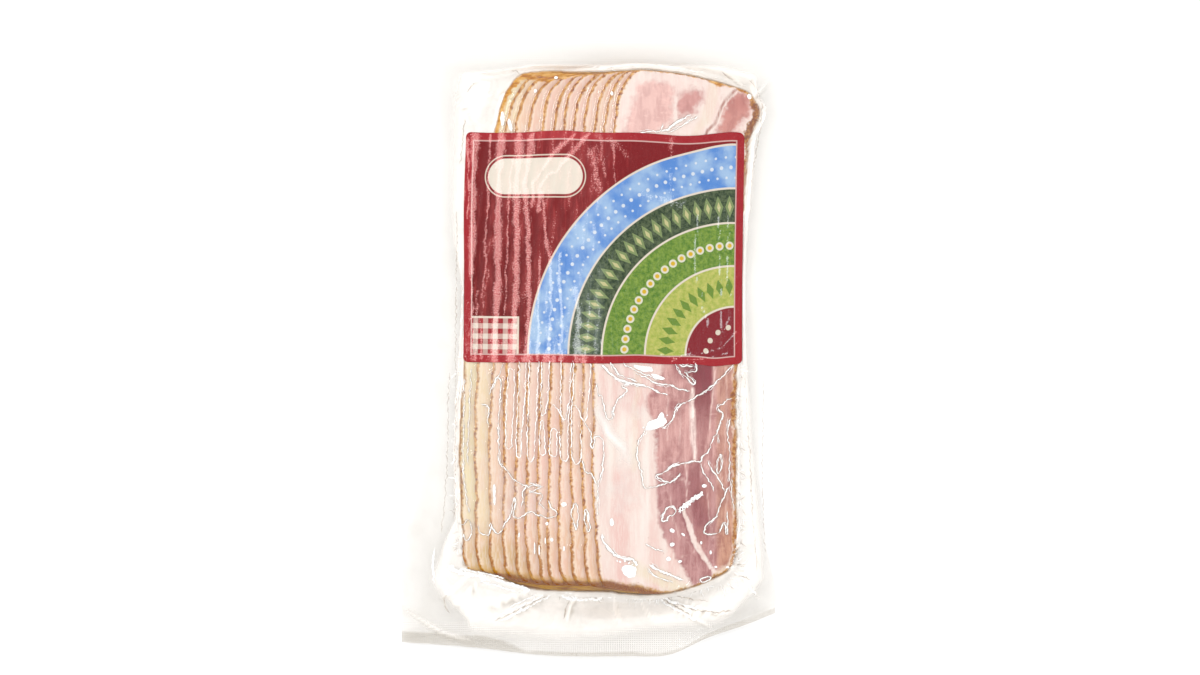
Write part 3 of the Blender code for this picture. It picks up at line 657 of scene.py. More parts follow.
# how dark the purple band in the lean is along the slice, and where its middle lies
band_depth = curve(((-86.0, 0.0), (-80.0, 0.3), (-74.0, 0.55), (-66.0, 0.6), (-52.0, 0.5), (-45.0, 0.35), (-38.0, 0.36), (-31.0, 0.5), (-22.0, 0.8), (-12.0, 1.0), (4.0, 1.0)))
band_half = curve(((-80.0, 3.2), (-72.0, 3.6), (-62.0, 3.0), (-51.0, 2.4), (-40.0, 2.6), (-28.0, 3.3), (-16.0, 4.2), (4.0, 4.8)))
band_centre = curve(((-80.0, 46.4), (-70.0, 45.8), (-61.0, 44.4), (-51.0, 43.0), (-44.0, 44.2), (-36.0, 46.0), (-24.0, 46.6), (-10.0, 46.4), (4.0, 46.4)))
SOFT_PALE = (  # (half width, strength, line) of pale strands in the lean
    (1.5, 1.0, ((42.0, -17.0), (42.1, -25.0), (42.4, -33.0), (42.8, -41.0), (43.4, -46.0))),
    (0.7, 0.9, ((42.0, -20.0), (42.3, -30.0), (42.8, -40.0))),
    (0.38, 0.85, ((51.6, 2.0), (51.7, -12.0), (51.2, -20.0), (50.2, -26.0), (49.4, -34.0))),
    (0.34, 0.75, ((39.4, -47.5), (39.5, -54.0), (39.6, -60.0), (39.5, -64.5))),
    (0.3, 0.7, ((36.1, -88.6), (39.4, -87.2), (43.1, -85.2))),
    (0.5, 0.6, ((45.6, -47.0), (51.0, -52.0), (56.2, -59.5))),
    (0.4, 0.55, ((48.0, -46.5), (52.0, -50.5), (55.0, -55.0))),
    (0.45, 0.5, ((31.0, -51.0), (36.0, -54.5), (41.0, -56.5))),
    (0.4, 0.45, ((30.2, -12.0), (32.0, -20.0), (31.0, -30.0), (32.2, -40.0))),
    (0.5, 0.4, ((56.6, -4.0), (56.9, -20.0), (56.2, -40.0), (57.0, -62.0), (56.0, -78.0))),
    (0.35, 0.45, ((36.4, -20.0), (37.2, -32.0), (36.6, -44.0))),
    (0.4, 0.4, ((33.0, -62.0), (34.2, -72.0), (37.0, -80.0))),
    (0.35, 0.45, ((48.6, -62.0), (49.2, -72.0), (51.4, -80.0))),
)
DARK_SPOTS = (  # x, y, half width, half length, strength, colour
    (26.9, -19.2, 2.9, 2.7, 0.75, (176, 122, 122)),
    (33.4, -23.4, 4.0, 3.0, 0.6, (172, 114, 116)),
    (39.6, -8.6, 4.6, 4.8, 0.9, (142, 82, 86)),
    (35.0, -8.6, 3.0, 2.6, 0.5, (168, 110, 112)),
    (37.4, -60.0, 5.0, 12.0, 0.65, (172, 118, 120)),
    (36.8, -72.0, 4.0, 7.0, 0.5, (180, 130, 130)),
    (48.0, -62.0, 3.6, 9.0, 0.6, (176, 122, 116)),
    (52.6, -50.0, 3.4, 5.0, 0.6, (178, 124, 114)),
    (36.0, -10.0, 4.2, 6.0, 0.55, (176, 122, 122)),
    (46.0, -80.0, 4.0, 6.0, 0.4, (190, 138, 130)),
    (57.0, -54.0, 3.0, 5.0, 0.5, (186, 136, 126)),
    (55.5, -68.0, 2.5, 6.0, 0.35, (188, 138, 124)),
)
PALE_LINES = (  # (half width, strength, line) of thin fat seams in the lean
    (1.7, 0.95, ((38.2, -68.5), (39.7, -72.7), (41.4, -76.9), (43.3, -80.7), (45.4, -84.5), (47.9, -88.7), (50.4, -92.5), (53.8, -96.3), (56.0, -98.0))),
    (0.5, 0.9, ((35.7, 111.4), (35.1, 106.6), (35.3, 101.1), (35.5, 95.3), (33.9, 90.5))),
)
CREAM_LINES = (
    (1.6, 0.35, ((18.9, 2.0), (19.3, -13.1), (18.5, -25.7), (18.1, -38.3), (17.2, -50.9))),
    (3.0, 0.75, ((18.0, -92.0), (26.0, -97.0), (32.0, -99.0))),
    (3.6, 0.9, ((28.6, -96.5), (33.6, -99.3), (39.5, -102.1))),
    (2.6, 0.5, ((54.6, 114.6), (52.1, 110.4), (50.8, 105.3), (49.6, 100.3), (46.2, 94.4), (42.8, 88.2))),
)
FOLD_SEAM = ((61.7, 109.9), (59.2, 107.9), (56.7, 105.1), (54.6, 102.0), (53.3, 98.6), (51.7, 94.8), (48.7, 91.9), (47.0, 88.8))

FAT_TONES = (
    (246, 230, 188), (246, 220, 184), (246, 213, 186), (245, 209, 188), (245, 209, 191), (246, 211, 194),
    (247, 212, 196), (247, 212, 195), (247, 212, 193), (247, 212, 191), (247, 213, 194), (248, 226, 217),
)


def bacon_material():
    t = Nodes("bacon")
    place = object_place(t)
    rim_mm = t.attribute("rim_mm")
    end_mm = t.attribute("end_mm")
    lean = t.attribute("lean")
    smoke = t.attribute("smoke")
    tone = t.attribute("tone", "Color")
    meat = t.attribute("meat", "Color")

    # fat: its own tone, clouded and faintly streaked along the slice
    cloud = t.noise(place, 0.16, 4.0, 0.55, stretch=(1.0, 0.45, 1.0))
    fibre = t.noise(place, 1.5, 3.0, 0.6, stretch=(1.0, 0.14, 1.0))
    grain = t.noise(place, 2.6, 2.0, 0.6)
    fat = t.mix(t.math("MULTIPLY", t.step(cloud, 0.44, 0.6), 0.3), tone, paint(246, 206, 199))
    fat = t.mix(t.math("MULTIPLY", t.step(fibre, 0.46, 0.6), 0.34), fat, paint(255, 245, 237))
    fat = t.mix(t.math("MULTIPLY", t.step(grain, 0.5, 0.66), 0.16), fat, paint(234, 186, 168))

    # lean: muscle with pale fibres along it and small darker flecks
    firm = t.attribute("firm")
    strand = t.noise(place, 0.75, 4.0, 0.6, stretch=(1.0, 0.12, 1.0), distortion=0.3)
    across = t.noise(place, 0.8, 3.0, 0.6, stretch=(0.35, 1.0, 1.0), distortion=0.6)
    patchy = t.noise(place, 0.2, 4.0, 0.6, stretch=(1.3, 0.6, 1.0), distortion=0.5)
    lighter = t.mix(1.0, meat, (1.22, 1.3, 1.28), "MULTIPLY")
    palest = t.mix(1.0, meat, (1.34, 1.52, 1.5), "MULTIPLY")
    darker = t.mix(0.55, meat, paint(148, 80, 82))
    muscle = t.mix(t.math("MULTIPLY", t.step(patchy, 0.46, 0.58), 0.6), meat, lighter)
    muscle = t.mix(t.math("MULTIPLY", t.math("SUBTRACT", 1.0, t.step(patchy, 0.38, 0.5)), t.math("MULTIPLY", firm, 0.45)), muscle, darker)
    muscle = t.mix(t.math("MULTIPLY", t.step(strand, 0.5, 0.62), t.math("ADD", 0.15, t.math("MULTIPLY", firm, 0.35))), muscle, palest)
    muscle = t.mix(t.math("MULTIPLY", t.math("SUBTRACT", 1.0, t.step(strand, 0.38, 0.5)), t.math("MULTIPLY", firm, 0.3)), muscle, darker)
    muscle = t.mix(t.math("MULTIPLY", t.step(across, 0.56, 0.66), 0.4), muscle, palest)
    muscle = t.mix(t.math("MULTIPLY", t.step(grain, 0.53, 0.66), t.math("MULTIPLY", firm, 0.22)), muscle, darker)
    ragged = t.math("ADD", lean, t.math("MULTIPLY", t.math("SUBTRACT", t.noise(place, 0.4, 4.0, 0.6), 0.5), 3.6))
    colour = t.mix(t.step(ragged, -1.1, 1.1), fat, muscle)

    # smoked rim: brown and beaded at the very edge, then a thin light line that is a painted highlight along the
    # rounded edge
    uneven = t.math("MULTIPLY", t.math("SUBTRACT", t.noise(place, 0.45, 3.0, 0.7), 0.5), 2.0)
    beads = t.math("MULTIPLY", t.math("SUBTRACT", t.noise(place, 1.1, 2.0, 0.6), 0.5), 1.7)
    rim = t.math("ADD", rim_mm, t.math("ADD", uneven, beads))
    painted_highlight_line = t.math("MULTIPLY", t.math("SUBTRACT", t.step(rim, 1.1, 1.5), t.step(rim, 1.6, 2.4)), 0.5)
    colour = t.mix(painted_highlight_line, colour, paint(255, 238, 216))
    brown = t.ramp(
        t.noise(place, 0.7, 3.0, 0.65),
        ((0.35, paint(136, 84, 22)), (0.46, paint(188, 130, 66)), (0.6, paint(230, 182, 122))),
    )
    juice = t.attribute("juice")
    brown = t.mix(t.math("MULTIPLY", juice, 0.6), brown, paint(166, 112, 26))
    rusty = t.math("MULTIPLY", t.step(smoke, 1.7, 2.8), t.math("ADD", 0.3, t.math("MULTIPLY", t.step(t.noise(place, 0.9, 3.0, 0.6), 0.42, 0.56), 0.65)))
    brown = t.mix(rusty, brown, paint(138, 90, 14))
    wide = t.math("MULTIPLY", smoke, 0.75)
    near = t.math("SUBTRACT", 1.0, t.step(t.math("SUBTRACT", rim, wide), 0.45, 1.4))
    colour = t.mix(t.math("MULTIPLY", near, 0.94), colour, brown)
    golden = t.ramp(
        t.noise(place, 0.45, 4.0, 0.65, stretch=(0.5, 1.6, 1.0)),
        ((0.38, paint(186, 122, 42)), (0.48, paint(220, 158, 72)), (0.58, paint(242, 192, 120))),
    )
    ends = t.math("ADD", end_mm, t.math("ADD", uneven, beads))
    flow = t.math("ADD", end_mm, t.math("MULTIPLY", t.math("SUBTRACT", t.noise(place, 0.3, 4.0, 0.65, stretch=(0.4, 1.3, 1.0)), 0.5), 5.0))
    deep = t.math("MULTIPLY", t.step(flow, -3.4, -2.1), t.math("SUBTRACT", 1.0, t.step(flow, -0.5, 1.4)))
    syrup = t.mix(deep, paint(200, 154, 60), paint(142, 95, 4))
    syrup = t.mix(t.math("MULTIPLY", t.step(grain, 0.5, 0.62), 0.35), syrup, paint(216, 168, 82))
    golden = t.mix(t.math("MULTIPLY", juice, 1.6, clamp=True), golden, syrup)
    fading = t.math("MULTIPLY", ends, t.math("SUBTRACT", 1.0, t.math("MULTIPLY", juice, 0.8)))
    at_end = t.math("SUBTRACT", 1.0, t.step(t.math("ADD", fading, t.math("MULTIPLY", juice, 0.22)), 0.1, 0.9))
    colour = t.mix(t.math("MULTIPLY", at_end, 0.95), colour, golden)
    ember = t.math("MULTIPLY", t.math("SUBTRACT", t.step(ends, -0.2, 0.3), t.step(ends, 0.4, 1.0)), t.math("MULTIPLY", juice, 0.1))
    colour = t.mix(ember, colour, paint(150, 98, 40))
    specks = t.math("MULTIPLY", t.step(t.noise(place, 0.75, 1.0, 0.5), 0.80, 0.84), 0.7)
    colour = t.mix(specks, colour, paint(150, 98, 60))

    bump_height = t.math("ADD", t.math("MULTIPLY", fibre, 0.5), t.math("MULTIPLY", strand, 0.5))
    bump = t.node("ShaderNodeBump", {"Strength": 0.35, "Distance": 0.0002, "Height": bump_height}).outputs[0]
    wet = t.node("ShaderNodeMapRange", {"Value": cloud, "From Min": 0.3, "From Max": 0.7, "To Min": 0.38, "To Max": 0.6}).outputs[0]
    shine = t.math("SUBTRACT", 0.3, t.math("MULTIPLY", juice, 0.25), clamp=True)
    shader = t.node("ShaderNodeBsdfPrincipled", {"Base Color": colour, "Roughness": wet, "Normal": bump, "Specular IOR Level": shine})
    return t.output(shader.outputs[0])


def slice_columns(k):
    """Distances from the left edge, and the number of further columns up to the right edge."""
    near = [0.0, 0.04, 0.13, 0.27, 0.45, 0.7, 1.0, 1.4, 1.9, 2.6, 3.4, 4.4, 5.5, 6.8]
    return np.array(near), (92 if k == SLICE_COUNT - 1 else 13)


def build_slice(k, mat):
    last = k == SLICE_COUNT - 1
    # rows: close together in the rounded corners
    span = float(slices_top(0.0) - slices_low(0.0))
    corner_t = CORNER_TOP[1] * (1 - np.sin(np.linspace(0, math.pi / 2, 16)))[::-1] / span
    corner_b = CORNER_LOW[1] * (1 - np.sin(np.linspace(0, math.pi / 2, 12)))[::-1] / span
    middle = np.linspace(corner_b[-1], 1 - corner_t[-1], 190 if last else 150)[1:-1]
    extra = np.array([0.12, 0.3, 0.55]) / span
    rows = np.unique(np.round(np.concatenate([corner_b, extra, middle, 1 - extra, 1 - corner_t]), 6))

    xc = edge_line(k, np.zeros(1))[0] + SLICE_WIDTH / 2
    y0 = low_end(k, np.array([xc]))[0] + rows * (top_end(k, np.array([xc]))[0] - low_end(k, np.array([xc]))[0])
    xl = xr = None
    yl, yr = y0.copy(), y0.copy()
    for _ in range(4):
        xl, xr = left_of(k, yl), right_of(k, yr)
        yl = low_end(k, xl) + rows * (top_end(k, xl) - low_end(k, xl))
        yr = low_end(k, xr) + rows * (top_end(k, xr) - low_end(k, xr))
    near, count = slice_columns(k)
    far = near[:7]
    x = np.zeros((len(near) + count + len(far), len(rows)))
    for j in range(len(rows)):
        mid = np.linspace(xl[j] + near[-1], xr[j] - far[-1], count + 2)[1:-1]
        x[:, j] = np.concatenate([xl[j] + near, mid, xr[j] - far[::-1]])
    y = low_end(k, x) + rows[None, :] * (top_end(k, x) - low_end(k, x))

    lean_l = np.abs(np.gradient(xl, yl + np.arange(len(yl)) * 1e-6))
    lean_r = np.abs(np.gradient(xr, yr + np.arange(len(yr)) * 1e-6))
    d_left = (x - xl[None, :]) / np.sqrt(1 + np.minimum(lean_l, 6) ** 2)[None, :]
    d_right = (xr[None, :] - x) / np.sqrt(1 + np.minimum(lean_r, 6) ** 2)[None, :]
    d_top, d_low = top_end(k, x) - y, y - low_end(k, x)
    d_end = np.minimum(d_top, d_low)
    d_side = np.minimum(d_left, d_right)
    d = np.maximum(np.minimum(d_side, d_end), 0)
    f = profile(d)
    f[0, :] = f[-1, :] = 0
    f[:, 0] = f[:, -1] = 0
    base = sample(lies_on[k], x, y)
    t = thick(k)
    uneven = 0.05 * noise(x, y, 6.0, 200 + k) + 0.03 * noise(x, y, 2.2, 230 + k)
    z_top = base + t * (0.45 + 0.55 * f) + uneven * f
    z_low = base + t * 0.45 * (1 - f)
    top = np.stack([x, y, z_top], -1)
    low = np.stack([x, y, z_low], -1)
    verts, faces, source = closed_grid(top, low)

    # how smoked the rim is, and where the end lies bare as a step under the slices above
    smoke = 0.1 + 0.3 * noise(x * 0.2, y, 9.0, 260 + k) + 0.2 * noise(x * 0.2, y, 3.5, 270 + k)
    smoke = smoke + (0.75 - 0.05 * k) * ease((y - 92.0) / 12.0) + 0.35 * ease((-y - 80.0) / 12.0)
    juice = ease((-y - 72.0) / 16.0) * (0.5 + 0.5 * ease((24.0 - x) / 30.0))
    lean = np.full(x.shape, -6.0)
    tone = np.empty(x.shape + (3,))
    meat = np.empty(x.shape + (3,))
    meat[:] = paint(209, 158, 155)

    def blend(field, share, rgb):
        share = np.clip(share, 0, 1)[..., None]
        return field * (1 - share) + np.array(paint(*rgb)) * share

    tone[:] = paint(*FAT_TONES[k])
    along = ease((x - xl[None, :] - 1.2) / 3.0)
    tone = blend(tone, 0.3 * along * (k > 1), (246, 206, 186))
    if k < 2:
        tone = blend(tone, 0.35 - 0.15 * k, (250, 236, 190))
    # the lowest ends look duller, towards olive, where juice gathers
    tone = blend(tone, 0.5 * ease((-y - 68.0) / 12.0), (236, 199, 163))
    tone = blend(tone, 0.55 * ease((-y - 78.0) / 9.0) * ease((-16.0 - x) / 20.0), (212, 184, 132))
    if k < SLICE_COUNT - 1:
        bare = ease((x - left_of(k + 1, y)) / 0.8 + 0.5)
        d_end = d_end - (1.9 * (y > 0) + (3.2 + 0.4 * noise(x * 0.6, y * 0, 4.0, 331)) * (y < 0)) * bare * ((d_end == d_low) | (x < 22))
        d_end = d_end - (1 - bare) * (y < 0) * (1.5 + 0.5 * noise(x, y * 0, 2.2, 333)) * ease((x + 46.0) / 16.0)
    if last:
        tone[:] = paint(248, 230, 222)
        wx = x + 0.8 * noise(x, y, 5.0, 301) + 0.45 * noise(x, y, 1.9, 302)
        wy = y + 1.0 * noise(x, y, 6.0, 303) + 0.5 * noise(x, y, 2.2, 304)
        for poly in (LEAN_LOW, EYE_LARGE, EYE_SMALL, LEAN_TOP):
            lean = np.maximum(lean, np.clip(polygon_distance(poly, wx, wy), -6, 6))
        # the eyes near the top end are paler and softer than the lean below
        high = y > 60
        low_part = ~high
        meat = blend(meat, high * 1.0, (235, 193, 187))
        meat = blend(meat, high * 0.5 * ease((x - 22.0) / 8.0), (233, 188, 182))
        meat = blend(meat, high * ease((x - 34.0) / 2.6), (209, 156, 152))
        meat = blend(meat, high * ease((x - 51.0) / 3.0), (206, 147, 140))
        meat = blend(meat, high * 0.5 * (1 - ease(np.hypot((x - 62.0) / 5.0, (y - 104.0) / 4.5) - 0.3)), (186, 122, 118))
        # below the label: a dark purple band that fades downwards, tan towards the rind
        meat = blend(meat, low_part * 1.0, (211, 162, 158))
        meat = blend(meat, low_part * 0.5 * ease((-y - 44.0) / 12.0), (180, 134, 136))
        meat = blend(meat, low_part * 0.85 * ease((x - 51.0) / 3.0), (202, 153, 138))
        meat = blend(meat, low_part * 0.5 * ease((x - 52.0) / 4.0) * ease((-y - 62.0) / 12.0), (206, 156, 130))
        band = np.abs(wx * 0.5 + x * 0.5 - band_centre(y)) / band_half(y)
        meat = blend(meat, low_part * band_depth(y) * (1 - ease((band - 0.8) / 0.4)), (140, 72, 82))
        for cx, cy, rx, ry, strength, rgb in DARK_SPOTS:
            spot = np.hypot((wx - cx) / rx, (wy - cy) / ry)
            meat = blend(meat, low_part * strength * (1 - ease((spot - 0.35) / 0.75)), rgb)
        for i, (half, strength, line) in enumerate(SOFT_PALE):
            dist, reach = line_distance(line, wx * 0.35 + x * 0.65, wy)
            taper = 0.4 + 0.6 * np.sin(np.clip(reach, 0.03, 0.97) * math.pi) ** 0.5
            meat = blend(meat, low_part * strength * (1 - ease((dist / (half * taper) - 0.3) / 0.9)), (252, 226, 220) if i < 2 else (240, 206, 199))
        dist, _ = line_distance(((36.6, -66.5), (38.6, -72.9), (40.3, -77.2), (42.2, -81.0), (44.2, -84.8), (46.8, -89.0)), wx * 0.5 + x * 0.5, wy)
        meat = blend(meat, low_part * 0.8 * (1 - ease(dist / 0.55 - 0.3)), (150, 98, 102))
        corner = polygon_distance(FAT_CORNER, wx, wy)
        lean = np.where(low_part, np.minimum(lean, -corner), lean)
        tone = blend(tone, low_part * np.clip(corner / 2.0 + 0.5, 0, 1) * 0.9, (228, 206, 170))
        tone = blend(tone, high * 0.9, (253, 235, 228))
        soft = np.clip(polygon_distance(LEAN_SOFT, wx, wy) / 5.0 + 0.4, 0, 1)
        tone = blend(tone, 0.55 * soft, (234, 188, 184))
        soft = np.clip(polygon_distance(PINK_LOW, wx, wy) / 3.0 + 0.4, 0, 1)
        tone = blend(tone, 0.6 * soft, (240, 196, 190))
        # whiter fat beside the lean, and a near-white patch that is a painted highlight: the film's soft glare over the
        # fat
        beside = ease((x - 19.0) / 3.0) * ease((30.0 - x) / 3.0) * ease((-y - 22.0) / 6.0) * ease((y + 84.0) / 10.0)
        tone = blend(tone, 0.85 * beside, (253, 245, 238))
        painted_glare_patch = np.hypot((wx - 12.5) / 10.0, (wy + 38.0) / 14.0)
        tone = blend(tone, low_part * 0.8 * (1 - ease((painted_glare_patch - 0.5) / 0.7)), (255, 248, 238))
        # vertical pink and white bands in the fat below the label
        bands = noise(x * 1.0 + 0.3 * noise(x, y, 9.0, 340), y * 0.05, 2.6, 341)
        tone = blend(tone, low_part * 0.65 * np.clip(bands, 0, 1), (241, 198, 191))
        fine = noise(x * 1.6 + 0.4 * noise(x, y, 7.0, 342), y * 0.07, 1.5, 343)
        tone = blend(tone, low_part * 0.35 * np.clip(fine, 0, 1), (238, 192, 184))
        tone = blend(tone, low_part * 0.7 * np.clip(-bands, 0, 1), (255, 242, 236))
        lean = np.where(high, np.clip(lean * 0.5 + 0.1, -3, 1.6), np.clip(lean, -6, 2.0))
        for half, strength, line in PALE_LINES:
            dist, reach = line_distance(line, wx * 0.6 + x * 0.4, wy)
            taper = np.sin(np.clip(reach, 0.06, 0.94) * math.pi) ** 0.4
            cut = strength * (1 - ease(dist / (half * taper) - 0.35))
            lean = lean - cut * (np.clip(lean, -1, 2.2) + 1.3)
        for half, strength, line in CREAM_LINES:
            dist, _ = line_distance(line, wx, wy)
            tone = blend(tone, strength * (1 - ease(dist / half - 0.3)), (242, 228, 204))
        seam, _ = line_distance(FOLD_SEAM, x + 0.3 * noise(x, y, 2.0, 305), y)
        tone = blend(tone, 0.9 * (1 - ease(seam / 0.7 - 0.3)), (176, 122, 112))
        lean = lean - 2.5 * (1 - ease(seam / 1.0 - 0.3)) * high
        # the rind along the right edge, widest at its shoulder near the top end
        rind = ease((y - 86.0) / 5.0) * ease((106.0 - y) / 5.0)
        right_side = x > xr[None, :] - 8
        smoke = np.where(right_side, 1.05 + 1.0 * noise(x * 0.3, y, 4.5, 320) + (0.9 + 0.9 * rind) * noise(x * 0.3, y, 1.7, 321) + 2.2 * rind, smoke)
        # its ends show little brown, apart from two clumps at the top right
        d_end = d_end + 0.25 * (y > 0) * ease((x - 18.0) / 10.0) + (0.1 + 0.3 * noise(x, y * 0, 3.0, 325)) * (y < 0) * ease((x - 24.0) / 8.0)
        d_end = d_end - 1.1 * np.exp(-(((x - 51.5) / 1.6) ** 2)) * (y < 0)
        under = ease((x + 1.0) / 2.0) * ease((32.0 - x) / 12.0) * (1.0 + 0.2 * noise(x, y * 0, 5.0, 332))
        d_end = d_end - 2.4 * under * (y < 0) * (x < 34.0)
        juice = np.maximum(juice, (0.6 + 0.1 * rind) * ease((6.0 - d_right) / 1.0) * (y < 104.0))
        juice = np.maximum(juice, 0.8 * (y < -88.0) * ease((34.0 - x) / 8.0))
        d_end = d_end - 1.6 * np.exp(-(((x - 53.0) / 2.6) ** 2)) * high - 1.2 * np.exp(-(((x - 64.0) / 3.4) ** 2)) * high

    # the golden, fanned-out ends along the top left corner
    outer = np.minimum(slices_top(x) - y, (x - left_of(0, np.minimum(y, 113.0))) * 0.8)
    wide = 3.3 * np.exp(-(((x + 19.0) / 11.5) ** 2)) * ease((y - 104.0) / 8.0) + 1.0
    wide = wide + 0.35 * noise(x * 0.5 + y, y - x * 0.5, 2.6, 330) * (0.5 + wide / 3.0)
    if not last:
        d_end = np.where(y > 90, np.minimum(d_end, outer - wide), d_end)
    rim_mm = np.clip(d_side, 0, 9)
    end_mm = np.clip(d_end, -3, 9)
    meat_colour = np.concatenate([np.clip(meat, 0, 1), np.ones(x.shape + (1,))], -1)
    colour = np.concatenate([np.clip(tone, 0, 1), np.ones(x.shape + (1,))], -1)
    attributes = [
        ("rim_mm", "FLOAT", rim_mm.reshape(-1)[source]),
        ("end_mm", "FLOAT", end_mm.reshape(-1)[source]),
        ("lean", "FLOAT", lean.reshape(-1)[source]),
        ("meat", "FLOAT_COLOR", meat_colour.reshape(-1, 4)[source]),
        ("smoke", "FLOAT", np.clip(smoke, 0, 3).reshape(-1)[source]),
        ("juice", "FLOAT", juice.reshape(-1)[source]),
        ("firm", "FLOAT", (0.2 + 0.8 * ease((40.0 - y) / 20.0)).reshape(-1)[source]),
        ("tone", "FLOAT_COLOR", colour.reshape(-1, 4)[source]),
    ]
    return put(f"bacon_slice_{k + 1:02d}", verts, faces, mat, ["film_pack"], attributes)


bacon = bacon_material()
for k in range(SLICE_COUNT):
    build_slice(k, bacon)

# ------------------------------------------------------------------ the film


def film_material():
    t = Nodes("clear_film")
    place = object_place(t)
    veil = t.attribute("veil")
    seal = t.attribute("seal")
    shade_and_tint = t.attribute("shade_and_tint")
    smudge = t.noise(place, 0.11, 5.0, 0.6, distortion=0.6)
    streaky = t.noise(place, 0.5, 4.0, 0.6, stretch=(1.0, 0.35, 1.0), distortion=0.8)
    veil = t.math("MULTIPLY", veil, t.math("ADD", 0.62, t.math("MULTIPLY", smudge, 0.75)))
    veil = t.math("ADD", veil, t.math("MULTIPLY", t.step(streaky, 0.62, 0.85), 0.02), clamp=True)

    # the seal's knurl: two crossed sets of fine lines, only where the webs are sealed
    split = t.node("ShaderNodeSeparateXYZ", {0: place})
    a = t.math("ADD", split.outputs[0], split.outputs[1])
    b = t.math("SUBTRACT", split.outputs[0], split.outputs[1])
    lines = t.math("MULTIPLY", t.math("SINE", t.math("MULTIPLY", a, 3.4)), t.math("SINE", t.math("MULTIPLY", b, 3.4)))
    knurl = t.math("MULTIPLY", lines, seal)
    fine = t.noise(place, 0.8, 4.0, 0.6)
    bump_height = t.math("ADD", knurl, t.math("MULTIPLY", fine, 0.5))
    bump = t.node("ShaderNodeBump", {"Strength": 0.7, "Distance": 0.00014, "Height": bump_height}).outputs[0]

    clear = t.node("ShaderNodeBsdfTransparent", {"Color": (0.992, 0.988, 0.98)})
    dots = t.math("MULTIPLY", t.step(knurl, 0.1, 0.8), 0.44)
    # the milky part turns grey-beige by the grey attribute: painted shade on the low edge and on the folds' far sides,
    # and the seal's faint warm tint
    milky_colour = t.mix(shade_and_tint, (0.85, 0.81, 0.765), (0.44, 0.40, 0.34))
    milky_colour = t.mix(t.attribute("stain"), milky_colour, (0.40, 0.22, 0.08))
    milky = t.node("ShaderNodeBsdfPrincipled", {"Base Color": milky_colour, "Roughness": 0.42, "Normal": bump})
    milky.inputs["Specular IOR Level"].default_value = 0.3
    body = t.node("ShaderNodeMixShader", {"Fac": t.math("ADD", veil, dots, clamp=True)})
    t.tree.links.new(clear.outputs[0], body.inputs[1])
    t.tree.links.new(milky.outputs[0], body.inputs[2])
    gloss = t.node("ShaderNodeBsdfGlossy", {"Color": (1.0, 1.0, 1.0), "Roughness": 0.09, "Normal": bump})
    # Fresnel's rise towards the edge, the same from both sides of the film and never a full mirror
    facing = t.node("ShaderNodeLayerWeight", {"Blend": 0.5, "Normal": bump}).outputs["Facing"]
    mirror = t.math("ADD", t.math("MULTIPLY", t.math("POWER", facing, 4.0), 0.1), 0.035)
    whole = t.node("ShaderNodeMixShader", {"Fac": mirror})
    t.tree.links.new(body.outputs[0], whole.inputs[1])
    t.tree.links.new(gloss.outputs[0], whole.inputs[2])
    return t.output(whole.outputs[0])


FLANGE_STEPS = 17
GAP_STEPS = 7
ACROSS_EDGE = (-1.25, -0.8, -0.45, -0.15, 0.15, 0.45, 0.8, 1.3, 1.9)
FACE_COLUMNS = 62
FACE_ROWS = 205


def film_columns(y):
    """Column places for an array of y, columns first."""
    ye = np.clip(y, -99.0, 112.5)
    lo, hi = left_edge(y), right_edge(y)
    first, right = left_of(0, ye), right_of(SLICE_COUNT - 1, np.minimum(ye, 107.5))
    foot = first - 1.4
    s_l = np.minimum(left_seal(ye), foot - 1.0)
    cols = [lo + (s_l - lo) * i / FLANGE_STEPS for i in range(FLANGE_STEPS)]
    cols += [s_l + (foot - s_l) * i / GAP_STEPS for i in range(GAP_STEPS)]
    for k in range(SLICE_COUNT):
        e = left_of(k, ye)
        cols += [e + a for a in ACROSS_EDGE]
    start, stop = cols[-1], right - 0.5
    cols += [start + (stop - start) * (i + 1) / FACE_COLUMNS for i in range(FACE_COLUMNS)]
    s_r = np.maximum(right_seal(ye), right + 2.0)
    cols += [right + (s_r - right) * i / GAP_STEPS for i in range(GAP_STEPS)]
    cols += [s_r + (hi - s_r) * i / FLANGE_STEPS for i in range(FLANGE_STEPS + 1)]
    cols = np.array(cols)
    for i in range(1, len(cols)):
        cols[i] = np.maximum(cols[i], cols[i - 1] + 0.06)
    over = np.maximum(cols[-1] - hi, 0)
    cols[1:] -= over * np.linspace(0, 1, len(cols) - 1)[:, None]
    return cols


def film_rows(x):
    """Row places for an array of x, as an array with rows first."""
    lo, hi = low_edge(x), top_edge(x)
    low, top = slices_low(x), slices_top(x)
    s_l = np.minimum(low_seal(x), low - 2.6)
    s_t = np.maximum(top_seal(x) + 0.6, top + 2.1)
    rows = [lo + (s_l - lo) * i / FLANGE_STEPS for i in range(FLANGE_STEPS)]
    rows += [s_l + (low - 0.6 - s_l) * i / GAP_STEPS for i in range(GAP_STEPS)]
    rows += [low - 0.6, low - 0.2, low + 0.3, low + 0.8, low + 1.4, low + 2.1]
    start, stop = low + 2.9, top - 2.9
    rows += [start + (stop - start) * i / FACE_ROWS for i in range(FACE_ROWS + 1)]
    rows += [top - 2.1, top - 1.4, top - 0.8, top - 0.3, top + 0.2]
    rows += [top + 0.5 + (s_t - top - 0.5) * i / GAP_STEPS for i in range(GAP_STEPS)]
    rows += [s_t + (hi - s_t) * i / FLANGE_STEPS for i in range(FLANGE_STEPS + 1)]
    return np.array(rows)


